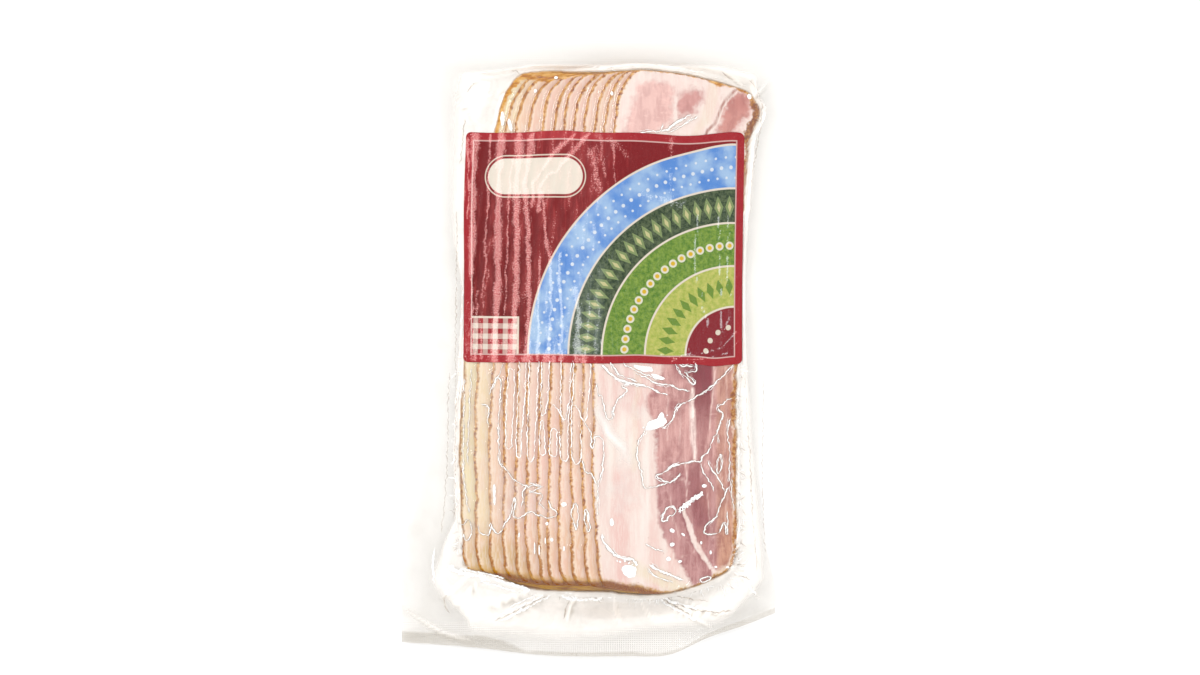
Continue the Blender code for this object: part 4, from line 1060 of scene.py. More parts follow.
def build_film(mat):
    nominal = film_rows(np.array([0.0]))[:, 0]
    nr = len(nominal)
    x = film_columns(nominal)
    nc = x.shape[0]
    y = np.empty_like(x)
    for j in range(nr):
        y[:, j] = film_rows(x[:, j])[j]
    z = sample(film_top, x, y)
    under = sample(web, x, y)
    z = np.maximum(z, under + 0.16)
    rim_mid = (z + under) / 2

    # the lower web: every second grid line, joined to the full rim all round
    up = np.arange(nc * nr).reshape(nc, nr)
    quads = np.stack([up[:-1, :-1], up[1:, :-1], up[1:, 1:], up[:-1, 1:]], -1).reshape(-1, 4).tolist()
    verts = [np.stack([x, y, z], -1).reshape(-1, 3)]
    z_rim = z.copy()
    # a second ring at the rim gives the cut edge its thickness
    ring = np.concatenate([up[:, 0], up[-1, 1:], up[-2::-1, -1], up[0, -2:0:-1]])
    n = len(ring)
    ring_xyz = np.stack([x.ravel()[ring], y.ravel()[ring], under.ravel()[ring]], -1)
    verts.append(ring_xyz)
    ring_low = nc * nr + np.arange(n)
    for i in range(n):
        j = (i + 1) % n
        quads.append([int(ring[i]), int(ring_low[i]), int(ring_low[j]), int(ring[j])])
    # lower grid, coarse inside
    ci = np.unique(np.concatenate([[1], np.arange(3, nc - 2, 2), [nc - 2]]))
    rj = np.unique(np.concatenate([[1], np.arange(3, nr - 2, 2), [nr - 2]]))
    lx, ly, lz = x[np.ix_(ci, rj)], y[np.ix_(ci, rj)], under[np.ix_(ci, rj)]
    start = nc * nr + n
    low = start + np.arange(lx.size).reshape(lx.shape)
    verts.append(np.stack([lx, ly, lz], -1).reshape(-1, 3))
    a, b, c, d = low[:-1, :-1], low[1:, :-1], low[1:, 1:], low[:-1, 1:]
    quads += np.stack([a, d, c, b], -1).reshape(-1, 4).tolist()
    # the strip between the rim ring and the coarse grid, side by side as fans
    place = {int(v): i for i, v in enumerate(ring)}

    def stitch(outer, inner, flip):
        """Triangles between two lines of vertices given as (position, index)."""
        i = j = 0
        while i < len(outer) - 1 or j < len(inner) - 1:
            take_outer = j == len(inner) - 1 or (i < len(outer) - 1 and outer[i + 1][0] <= inner[j + 1][0])
            if take_outer:
                tri = [outer[i][1], outer[i + 1][1], inner[j][1]]
                i += 1
            else:
                tri = [outer[i][1], inner[j + 1][1], inner[j][1]]
                j += 1
            quads.append(tri[::-1] if flip else tri)

    def ring_at(i, j):
        return int(ring_low[place[int(up[i, j])]])

    stitch([(i, ring_at(i, 0)) for i in range(nc)], [(int(i), int(low[q, 0])) for q, i in enumerate(ci)], True)
    stitch([(i, ring_at(i, nr - 1)) for i in range(nc)], [(int(i), int(low[q, -1])) for q, i in enumerate(ci)], False)
    stitch([(j, ring_at(0, j)) for j in range(nr)], [(int(j), int(low[0, q])) for q, j in enumerate(rj)], False)
    stitch([(j, ring_at(nc - 1, j)) for j in range(nr)], [(int(j), int(low[-1, q])) for q, j in enumerate(rj)], True)
    verts = np.concatenate(verts)

    vx, vy = verts[:, 0], verts[:, 1]
    v_out = sample(out, vx, vy)
    v_dry = sample(dry, vx, vy)
    past_seal = ease((v_out - 1.1) / 0.15)
    seal = past_seal * (0.12 + 0.88 * ease((-vy - 113.5) / 3.0) + 0.5 * ease((vy - 119.0) / 3.0))
    gap = 1 - sample(blur(covered.astype(float), 1.1), vx, vy)  # rises from 0 to 1 where the meat stops
    veil = 0.006 + 0.10 * v_dry * (v_out < 0.2)
    cloudy = np.clip(noise(vx, vy, 7.0, 500) * 0.6 + noise(vx, vy * 0.6, 3.0, 501) * 0.5, 0, 1)
    middle = ease((vx - 1.0) / 5.0) * ease((24.0 - vx) / 5.0) * ease((-vy - 4.0) / 8.0) * ease((vy + 74.0) / 12.0)
    veil = veil + 0.4 * cloudy * middle
    veil = veil + 0.04 * ease(v_out) + 0.04 * seal
    # a soft white smear where the film stands off the meat beside the strips, also a painted highlight for the glare
    # there
    smear, t = line_distance(((1.5, -19.0), (4.0, -29.0), (8.0, -36.5), (13.5, -42.0), (16.5, -52.0)), vx + 0.8 * noise(vx, vy, 4.0, 514), vy)
    veil = veil + 0.85 * np.sin(np.clip(t, 0.02, 0.98) * math.pi) * np.exp(-((smear / 2.2) ** 2))
    veil = veil + 0.74 * np.maximum(ease(v_out / 0.1), ease((gap - 0.1) / 0.4)) * ease((1.5 - v_out) / 0.6)
    # the gap holds golden juice and smoke close to the meat
    stain = ease((gap - 0.02) / 0.15) * ease((0.85 - gap) / 0.35) * (v_out < 1.5)
    stain = stain * np.clip(0.8 + 0.35 * noise(vx, vy, 3.0, 513), 0, 1)
    # the doubled, drooping edge along the low end is painted greyer: painted shade where it turns away from the light
    from_edge = vy - low_edge(vx) + 0.5 * noise(vx, vy * 0, 9.0, 510)
    strip = 1.6 + 3.6 * ease((-vx - 26.0) / 14.0) + 0.8 * ease((vx - 40.0) / 10.0)
    shade_and_tint = 1 - ease((from_edge - strip) / 0.7 + 0.5)
    veil = veil + 0.34 * shade_and_tint * past_seal
    # elsewhere in the seal the film is faintly warm, most of all at the lower left
    warm = 0.35 + 0.45 * ease((-vy - 40.0) / 40.0) - 0.3 * ease((vx - 30.0) / 30.0) * ease((vy + 96.0) / 12.0) - 0.5 * ease((vy - 100.0) / 12.0)
    warm = np.clip(warm + 0.3 * noise(vx * 0.4, vy, 6.0, 511) + 0.2 * noise(vx, vy * 0.3, 2.6, 512), 0, 1) * ease((v_out - 1.15) / 0.3)
    warm = warm * (1 - 0.75 * np.maximum(ease((-vy - 112.0) / 3.0), ease((vy - 117.0) / 3.0)))
    veil = np.maximum(veil, 0.16 * warm)
    shade_and_tint = np.maximum(shade_and_tint, 0.8 * warm * (vy < 60.0))
    # folds in the sealed ends: a grey side away from the light and a bright crest
    for half, tall, line in FOLDS:
        grey, t = line_distance(np.array(line) + (0.5, -0.9), vx, vy)
        bright, _ = line_distance(np.array(line) + (-0.2, 0.3), vx, vy)
        fade = np.sin(np.clip(t, 0.02, 0.98) * math.pi) ** 0.5
        shade = fade * np.exp(-((grey / (half * 0.9)) ** 2)) * (v_out > 0.05)
        shade_and_tint = np.maximum(shade_and_tint, shade)
        veil = veil + 0.3 * tall * shade
        shine = fade * np.exp(-((bright / (half * 0.55)) ** 2)) * (v_out > 0.05)
        veil = veil + 0.45 * shine
        shade_and_tint = shade_and_tint * (1 - 0.9 * shine)
    past_seal = np.maximum(past_seal, shade_and_tint)
    body = np.arange(len(verts)) >= nc * nr
    veil = np.where(body, 0.01 + 0.03 * ease(v_out), veil)
    attributes = [("veil", "FLOAT", veil), ("seal", "FLOAT", np.where(body, 0.0, seal)), ("shade_and_tint", "FLOAT", np.where(body, 0.0, shade_and_tint * past_seal)), ("stain", "FLOAT", np.where(body, 0.0, stain))]
    return put("film_bag", verts, quads, mat, ["film_pack"], attributes, sharp=60)


film = build_film(film_material())

# ------------------------------------------------------------------ creases and glints in the film


def smooth_line(pts, closed, step=0.32):
    """A line through points with its corners rounded, in even steps."""
    p = np.asarray(pts, float)
    for _ in range(2):
        if closed:
            q = np.roll(p, -1, axis=0)
            p = np.stack([0.78 * p + 0.22 * q, 0.22 * p + 0.78 * q], 1).reshape(-1, 2)
        else:
            a, b = p[:-1], p[1:]
            q = np.stack([0.78 * a + 0.22 * b, 0.22 * a + 0.78 * b], 1).reshape(-1, 2)
            p = np.concatenate([p[:1], q[1:-1], p[-1:]])
    if closed:
        p = np.concatenate([p, p[:1]])
    s = np.concatenate([[0], np.cumsum(np.hypot(*np.diff(p, axis=0).T))])
    n = max(int(s[-1] / step), 6)
    q = np.linspace(0, s[-1], n + 1)
    p = np.stack([np.interp(q, s, p[:, 0]), np.interp(q, s, p[:, 1])], -1)
    return p[:-1] if closed else p


film_soft = blur(film_top, 3.0)
SECTION = ((-1.0, -0.25), (-0.72, 0.62), (0.0, 1.0), (0.72, 0.62), (1.0, -0.25), (0.0, -0.45))


def ridge(verts, faces, pts, half, tall, closed, seed, clear=0.3):
    """A thin standing fold along a line on the film, with an arched section and ragged width.
    Over the sealed film it stands clear of the small ripples."""
    clear = clear * 0.5
    p = smooth_line(pts, closed)
    n = len(p)
    ahead = np.roll(p, -1, axis=0) - np.roll(p, 1, axis=0)
    if not closed:
        ahead[0], ahead[-1] = p[1] - p[0], p[-1] - p[-2]
    ahead /= np.maximum(np.hypot(*ahead.T), 1e-9)[:, None]
    side = np.stack([-ahead[:, 1], ahead[:, 0]], -1)
    s = np.arange(n) * 0.32
    p = p + side * (0.3 * noise(s, s * 0, 1.7, seed) + 0.3 * noise(s, s * 0, 0.75, seed + 1))[:, None]
    w = half * (1.05 + 0.6 * noise(s, s * 0, 1.6, seed + 2) + 0.4 * noise(s, s * 0, 0.65, seed + 3))
    h = tall * (1.0 + 0.35 * noise(s, s * 0, 2.1, seed + 4))
    if not closed:
        end = np.minimum(np.arange(n), np.arange(n)[::-1]) / 4.0
        w = w * (0.25 + 0.75 * ease(end))
        h = h * (0.2 + 0.8 * ease(end))
    m = len(SECTION)
    first = len(verts)
    rows = []
    for a, b in SECTION:
        q = p + side * (w * a)[:, None]
        sealed = ease(sample(out, q[:, 0], q[:, 1]) / 0.4)
        near = sample(film_top, q[:, 0], q[:, 1])
        z = near * (1 - sealed) + (np.maximum(sample(film_soft, p[:, 0], p[:, 1]), sample(film_soft, q[:, 0], q[:, 1])) + clear) * sealed + 0.05 + h * b
        rows.append(np.stack([q[:, 0], q[:, 1], z], -1))
    grid = np.stack(rows, 1)
    verts.extend(grid.reshape(-1, 3).tolist())
    for i in range(n if closed else n - 1):
        i2 = (i + 1) % n
        for a in range(m):
            b = (a + 1) % m
            faces.append([first + i * m + a, first + i2 * m + a, first + i2 * m + b, first + i * m + b][::-1])
    if not closed:
        faces.append([first + a for a in range(m)][::-1])
        faces.append([first + (n - 1) * m + a for a in range(m)])


def patch(verts, faces, outline, tall, seed):
    """A low raised spot of film with a domed top."""
    p = smooth_line(outline, True, 0.35)
    centre = p.mean(0)
    n = len(p)
    first = len(verts)
    shares = (1.0, 0.86, 0.55, 0.25)
    heights = (-0.3, 0.55, 0.9, 1.0)
    s = np.arange(n) * 0.35
    wide = float(np.hypot(*(p - centre).T).mean())
    jag = 0.22 * min(1.0, wide / 2.0) * noise(s, s * 0, 0.8, seed) + 0.3 * min(1.0, wide / 3.5) * noise(s, s * 0, 1.7, seed + 7)
    p = centre + (p - centre) * (1 + jag / max(wide, 0.5))[:, None]
    for share, b in zip(shares, heights):
        q = centre + (p - centre) * share
        z = sample(film_top, q[:, 0], q[:, 1]) + 0.05 + tall * b
        verts.extend(np.stack([q[:, 0], q[:, 1], z], -1).tolist())
    for r in range(len(shares) - 1):
        for i in range(n):
            j = (i + 1) % n
            faces.append([first + r * n + i, first + r * n + j, first + (r + 1) * n + j, first + (r + 1) * n + i])
    zc = float(sample(film_top, centre[0], centre[1]))
    verts.append([centre[0], centre[1], zc + 0.05 + tall])
    verts.append([centre[0], centre[1], zc + 0.05 - 0.3 * tall])
    top, low = first + len(shares) * n, first + len(shares) * n + 1
    for i in range(n):
        j = (i + 1) % n
        faces.append([first + (len(shares) - 1) * n + i, first + (len(shares) - 1) * n + j, top])
        faces.append([first + j, first + i, low])


def area(poly):
    p = np.asarray(poly, float)
    q = np.roll(p, -1, axis=0)
    return 0.5 * float(np.sum(p[:, 0] * q[:, 1] - q[:, 0] * p[:, 1]))


def turned(poly):
    return list(poly) if area(poly) > 0 else list(poly)[::-1]


# The creases' film: white where the folds would catch the light, a painted highlight in place of their glints.
def crease_glint_material():
    t = Nodes("film_crease_glint")
    place = object_place(t)
    broken = t.noise(place, 1.1, 4.0, 0.65)
    cover = t.node("ShaderNodeMapRange", {"Value": broken, "From Min": 0.36, "From Max": 0.55, "To Min": 0.62, "To Max": 1.0}).outputs[0]
    clear = t.node("ShaderNodeBsdfTransparent", {"Color": (0.99, 0.985, 0.98)})
    bright = t.mix(t.noise(place, 0.6, 3.0, 0.6), (0.93, 0.92, 0.90), (0.95, 0.95, 0.95))
    white = t.node("ShaderNodeBsdfPrincipled", {"Base Color": bright, "Roughness": 0.22})
    white.inputs["Specular IOR Level"].default_value = 0.6
    whole = t.node("ShaderNodeMixShader", {"Fac": cover})
    t.tree.links.new(clear.outputs[0], whole.inputs[1])
    t.tree.links.new(white.outputs[0], whole.inputs[2])
    return t.output(whole.outputs[0])


# bright, ragged glints in the film just outside the slices: half width, height, line
GLINTS = (
    (0.9, 0.3, ((-60.5, -91.0), (-57.0, -94.6), (-50.0, -95.6), (-44.0, -96.8), (-38.0, -98.6), (-31.0, -100.8), (-26.0, -102.4))),
    (0.35, 0.22, ((-56.0, -93.2), (-50.0, -93.9), (-43.0, -95.2), (-37.0, -96.8))),
    (0.3, 0.2, ((-48.0, -98.4), (-42.0, -99.6), (-36.0, -101.4), (-30.0, -103.4))),
    (0.75, 0.3, ((-13.8, -103.6), (-11.0, -105.2), (-5.0, -105.6), (0.0, -105.8), (4.5, -105.2))),
    (0.3, 0.2, ((-12.0, -103.2), (-5.0, -104.0), (3.0, -104.2), (9.0, -104.6))),
    (0.4, 0.25, ((6.0, -104.8), (14.0, -105.2), (22.0, -105.6), (28.0, -105.2))),
    (0.42, 0.2, ((-16.8, -103.8), (-22.4, -106.6), (-30.0, -110.6), (-38.6, -114.8))),
    (0.36, 0.18, ((-19.4, -103.4), (-25.6, -106.4), (-33.4, -110.2), (-41.0, -113.2))),
    (0.26, 0.16, ((-22.8, -103.6), (-29.0, -106.4), (-35.0, -109.0))),
    (0.5, 0.3, ((30.5, -105.6), (36.6, -107.4), (43.0, -109.2), (52.0, -109.9))),
    (0.4, 0.3, ((29.4, -106.6), (36.0, -110.4), (44.0, -114.6))),
    (0.35, 0.3, ((62.5, -96.0), (66.0, -99.5), (69.0, -103.5))),
    (0.3, 0.25, ((-66.6, -84.0), (-67.4, -92.0), (-66.4, -99.0))),
)
# thin folds along the seal, drawn as grey lines of painted shade, as (half width, height, line)
SEAMS = (
    (0.17, 0.16, ((64.4, -4.0), (64.6, -10.2), (65.1, -23.0), (66.0, -35.0), (66.9, -47.8), (67.4, -63.4), (68.8, -82.7), (69.7, -93.7))),
    (0.15, 0.16, ((72.4, -12.0), (72.0, -34.0), (71.8, -60.0), (73.0, -86.0))),
    (0.16, 0.16, ((66.8, 66.0), (68.2, 76.0), (70.5, 90.0), (72.0, 101.0), (70.2, 109.0), (66.0, 113.5))),
    (0.15, 0.16, ((-56.9, 58.0), (-57.3, 30.0), (-57.6, 0.0), (-57.4, -24.0), (-57.8, -50.0), (-58.2, -72.0))),
    (0.13, 0.14, ((-60.4, -10.0), (-60.8, -34.0), (-61.6, -58.0), (-63.6, -78.0))),
    (0.2, 0.2, ((-52.6, 108.2), (-51.0, 110.6), (-49.2, 112.2))),
    (0.18, 0.2, ((-35.0, 117.6), (-32.0, 117.0), (-30.4, 116.2))),
    (0.18, 0.2, ((53.6, 117.8), (56.4, 115.4), (59.0, 113.4))),
    (0.16, 0.16, ((-53.6, 97.0), (-54.6, 88.0), (-55.6, 78.0))),
    (0.3, 0.16, ((29.8, -104.6), (37.0, -108.2), (45.4, -110.6), (54.6, -111.2), (58.8, -110.2))),
    (0.24, 0.16, ((28.2, -105.0), (36.1, -109.2), (45.4, -115.0))),
    (0.2, 0.14, ((33.0, -103.8), (41.0, -105.6), (49.0, -106.6))),
    (0.16, 0.1, ((-19.6, -104.6), (-25.4, -107.4), (-33.0, -111.2), (-41.0, -114.6))),
    (0.2, 0.14, ((-60.0, -101.0), (-63.0, -106.0), (-60.0, -111.5))),
    (0.22, 0.14, ((-9.0, -104.6), (-11.0, -109.0), (-11.6, -114.0))),
)


def wrinkles(verts, faces, seed, grey):
    """Short fine wrinkles all round the slices, where the film comes down to the seal."""
    rng = np.random.RandomState(seed)
    for i in range(90 if grey else 190):
        where = rng.uniform()
        turn = rng.uniform(-0.9, 0.9)
        reach = rng.uniform(1.2, 4.2)
        start = rng.uniform(0.2, 2.2)
        if where < 0.34:
            y = rng.uniform(-92.0, -6.0)
            x = float(right_of(SLICE_COUNT - 1, np.array([y]))[0]) + start
            angle = turn if rng.uniform() < 0.5 else turn * 0.5 + math.copysign(1.25, turn)
        elif where < 0.56:
            y = rng.uniform(-88.0, -2.0)
            x = float(left_of(0, np.array([y]))[0]) - start
            angle = math.pi + (turn if rng.uniform() < 0.5 else turn * 0.5 + math.copysign(1.25, turn))
        elif where < 0.82:
            x = rng.uniform(-46.0, 50.0)
            y = float(slices_low(x)) - start
            angle = -math.pi / 2 + turn
        elif where < 0.92:
            around = rng.uniform(-1.5, 0.1)
            x, y = 52.0 + (7.0 + start * 2) * math.cos(around), -91.0 + (8.0 + start * 2) * math.sin(around)
            angle, reach = around + 0.25 * turn, reach * 1.4
        else:
            x = rng.uniform(-30.0, 60.0)
            y = float(slices_top(x)) + 0.6 + start * 0.6
            angle = turn * 0.4
        bend = rng.uniform(-0.5, 0.5)
        pts = []
        for share in (0.0, 0.35, 0.7, 1.0):
            a = angle + bend * share
            pts.append((x + reach * share * math.cos(a), y + reach * share * math.sin(a)))
        ridge(verts, faces, pts, rng.uniform(0.07, 0.15), 0.12, False, 3000 + seed + i % 40)


# The folds' film: grey where the folds would lie in shadow, painted shade beside the film's glints.
def fold_shade_material():
    t = Nodes("film_fold_shade")
    place = object_place(t)
    cover = t.node("ShaderNodeMapRange", {"Value": t.noise(place, 0.6, 4.0, 0.65), "From Min": 0.4, "From Max": 0.6, "To Min": 0.05, "To Max": 0.5}).outputs[0]
    clear = t.node("ShaderNodeBsdfTransparent", {"Color": (0.99, 0.98, 0.96)})
    shade_grey = t.mix(t.noise(place, 0.25, 3.0, 0.6), (0.44, 0.39, 0.37), (0.60, 0.53, 0.46))
    grey = t.node("ShaderNodeBsdfPrincipled", {"Base Color": shade_grey, "Roughness": 0.3})
    whole = t.node("ShaderNodeMixShader", {"Fac": cover})
    t.tree.links.new(clear.outputs[0], whole.inputs[1])
    t.tree.links.new(grey.outputs[0], whole.inputs[2])
    return t.output(whole.outputs[0])


def build_folds(mat):
    verts, faces = [], []
    for i, (half, tall, line) in enumerate(SEAMS):
        ridge(verts, faces, line, half, tall, False, 2800 + 5 * i, 0.12)
    wrinkles(verts, faces, 41, True)
    # a wider, low grey ridge under each crease: its painted shadow
    for i, (half, tall, closed, line) in enumerate(CREASES):
        ridge(verts, faces, line, half + 0.2, 0.05, closed, 700 + 5 * i)
    return put("film_folds", np.array(verts), faces, mat, ["film_pack"], sharp=80)


def build_creases(mat):
    verts, faces = [], []
    seed = 700
    rng = np.random.RandomState(77)
    for half, tall, closed, line in CREASES:
        ridge(verts, faces, line, half, tall, closed, seed)
        # the other side of the fold shows as a second, thinner line here and there
        p = smooth_line(line, closed, 0.6)
        ahead = np.gradient(p, axis=0)
        ahead /= np.maximum(np.hypot(*ahead.T), 1e-9)[:, None]
        q = p + np.stack([-ahead[:, 1], ahead[:, 0]], -1) * (half + 0.42) * (1 if rng.uniform() < 0.5 else -1)
        i = 0
        while i < len(q) - 6:
            n = rng.randint(6, 16)
            if rng.uniform() < 0.5 and len(q[i : i + n]) > 5:
                ridge(verts, faces, q[i : i + n : 2].tolist(), 0.1, 0.12, False, seed + 3 + i)
            i += n + rng.randint(2, 8)
        seed += 5
    for closed, line in POCKETS:
        ridge(verts, faces, line, 0.165, 0.17, closed, seed)
        seed += 5
    for half, tall, line in GLINTS:
        ridge(verts, faces, line, half, tall, False, seed)
        seed += 5
    wrinkles(verts, faces, 17, False)
    for outline in PATCHES:
        patch(verts, faces, turned(outline), 0.22, seed)
        seed += 1
    # a ragged glint made of many small spots
    rng = np.random.RandomState(91)
    spots = []
    for share in np.linspace(0, 1, 9):
        spots.append((37.2 + 9.0 * share + rng.uniform(-0.7, 0.7), -68.0 + 7.0 * share**0.8 + rng.uniform(-0.9, 0.9), rng.uniform(0.4, 1.0), rng.uniform(0.3, 0.65), rng.uniform(0, 90)))
    for turn in range(3):
        zigzag = []
        for i, share in enumerate(np.linspace(0, 1, 13)):
            aside = (1.1 if (i + turn) % 2 else -1.0) * rng.uniform(0.5, 1.2)
            zigzag.append((36.6 + 10.0 * share - 0.6 * aside, -68.6 + 7.6 * share**0.8 + aside))
        ridge(verts, faces, zigzag, 0.2, 0.22, False, seed)
        seed += 5
    for share in np.linspace(0, 1, 9):
        spots.append((11.0 + 8.0 * share + rng.uniform(-0.6, 0.6), -88.6 - 2.6 * share + rng.uniform(-0.9, 0.9), rng.uniform(0.25, 0.6), rng.uniform(0.2, 0.45), rng.uniform(-60, 20)))
    for share in np.linspace(0, 1, 12):
        spots.append((22.0 + 9.0 * share + rng.uniform(-0.8, 0.8), -34.4 + 6.0 * share + rng.uniform(-1.2, 1.8), rng.uniform(0.2, 0.55), rng.uniform(0.2, 0.45), rng.uniform(-40, 60)))
    for x, y, a, b, turn in list(DOTS) + spots:
        angle = np.linspace(0, 2 * math.pi, 15)[:-1]
        c, s = math.cos(math.radians(turn)), math.sin(math.radians(turn))
        u, v = a * np.cos(angle), b * np.sin(angle)
        ring = np.stack([x + u * c - v * s, y + u * s + v * c], -1)
        patch(verts, faces, turned(ring.tolist()), 0.2, seed)
        seed += 1
    return put("film_creases", np.array(verts), faces, mat, ["film_pack"], sharp=80)


build_folds(fold_shade_material())
build_creases(crease_glint_material())

# ------------------------------------------------------------------ the label

# pale streaks where the label bends over the slices under it, worn ink with painted sheen on it: half width, strength,
# line
LABEL_WEAR_SHEEN = (
    (2.2, 0.9, ((-49.6, 89.8), (-50.0, 70.0), (-50.4, 49.0), (-51.0, 32.0))),
    (0.8, 0.8, ((-52.3, 88.5), (-52.0, 70.0), (-52.5, 55.0))),
    (0.8, 0.75, ((-43.1, 90.4), (-43.6, 70.0), (-44.6, 50.0), (-45.0, 33.0), (-46.6, 22.0))),
    (2.3, 1.0, ((-38.2, 90.2), (-39.5, 70.0), (-39.8, 45.0), (-39.4, 28.0), (-40.8, 10.0), (-41.2, -4.5))),
    (0.8, 0.75, ((-33.8, 80.0), (-34.7, 70.0), (-35.6, 52.0), (-36.2, 30.0), (-36.8, 14.0))),
    (2.3, 1.0, ((-30.4, 90.2), (-32.0, 70.0), (-31.6, 42.0), (-32.0, 20.0), (-33.8, 0.0), (-34.0, -4.5))),
    (1.9, 0.95, ((-25.2, 90.2), (-28.3, 70.0), (-26.6, 42.0), (-26.6, 22.0), (-27.0, 4.0), (-27.4, -4.5))),
    (1.3, 0.85, ((-7.2, 90.2), (-15.5, 82.8), (-18.9, 78.0), (-24.6, 70.0), (-25.0, 60.0))),
    (1.3, 0.85, ((-1.3, 90.2), (-12.6, 78.0), (-15.0, 74.2), (-18.2, 73.8), (-21.4, 68.0), (-22.5, 58.0))),
    (1.3, 0.8, ((-20.6, 66.0), (-20.0, 50.0), (-17.2, 34.0), (-17.0, 18.0), (-18.6, 4.0), (-18.4, -4.5))),
    (1.0, 0.8, ((-21.5, 40.0), (-22.8, 22.0), (-22.6, 6.0), (-23.0, -4.5))),
    (1.3, 0.8, ((-13.4, 40.0), (-13.2, 28.0), (-12.8, 12.0), (-13.2, -4.5))),
    (2.6, 0.75, ((-7.0, 25.0), (-5.2, 16.0), (-6.0, 4.0), (-5.8, -4.5))),
    (0.9, 0.65, ((-48.6, 24.0), (-48.9, 6.0), (-49.4, -4.5))),
    (0.9, 0.65, ((-50.8, 30.0), (-50.6, 10.0), (-50.9, -4.5))),
    (0.8, 0.65, ((-46.9, 14.0), (-47.0, 4.0), (-46.6, -4.5))),
    (0.8, 0.7, ((9.0, 87.0), (9.2, 78.0), (9.8, 68.5))),
    (1.3, 0.55, ((33.0, 90.0), (33.4, 80.0), (33.0, 66.0), (33.6, 60.0))),
    (0.6, 0.55, ((0.8, 6.0), (1.2, 0.0), (0.8, -4.5))),
    (0.6, 0.55, ((3.6, 4.0), (3.8, -4.5))),
    (3.4, 0.6, ((0.5, 82.0), (1.5, 75.0), (2.5, 67.0))),
    (2.2, 0.95, ((-54.8, 88.5), (-55.0, 72.0), (-55.4, 53.0))),
    (1.2, 0.7, ((-55.2, 53.0), (-55.0, 40.0), (-55.4, 30.0))),
    (1.4, 0.55, ((3.6, 89.0), (4.4, 80.0), (5.6, 72.0))),
    (1.6, 0.55, ((7.6, 88.0), (12.0, 84.0), (15.0, 80.0))),
    (0.42, 0.95, ((45.5, 25.0), (46.6, 17.0), (49.2, 9.4))),
    (0.4, 0.9, ((53.2, 62.0), (53.6, 45.0), (54.2, 24.0), (54.6, 8.5), (54.2, 2.0))),
    (0.4, 0.9, ((59.0, 24.5), (57.8, 14.0), (56.2, 8.0))),
    (0.36, 0.75, ((57.4, 56.0), (57.0, 40.0), (57.2, 26.0))),
    (0.4, 0.75, ((44.6, 56.0), (43.2, 40.0), (43.6, 28.0))),
    (0.45, 0.85, ((33.6, -5.4), (38.0, -2.6), (46.0, -2.2), (55.0, 0.6), (60.8, 7.0))),
    (0.4, 0.8, ((28.0, -2.0), (36.0, -4.6), (47.0, -4.4), (58.0, -1.6), (61.8, 3.0))),
    (0.36, 0.75, ((40.0, 0.2), (42.4, -3.4), (43.0, -6.0))),
    (3.2, 0.42, ((22.0, 64.5), (29.0, 63.0), (37.0, 61.0))),
    (2.4, 0.35, ((-46.0, 4.0), (-30.0, 1.0), (-14.0, 3.0), (2.0, 0.0))),
    (3.0, 0.35, ((-52.0, 18.0), (-51.6, 6.0), (-52.0, -3.0))),
)


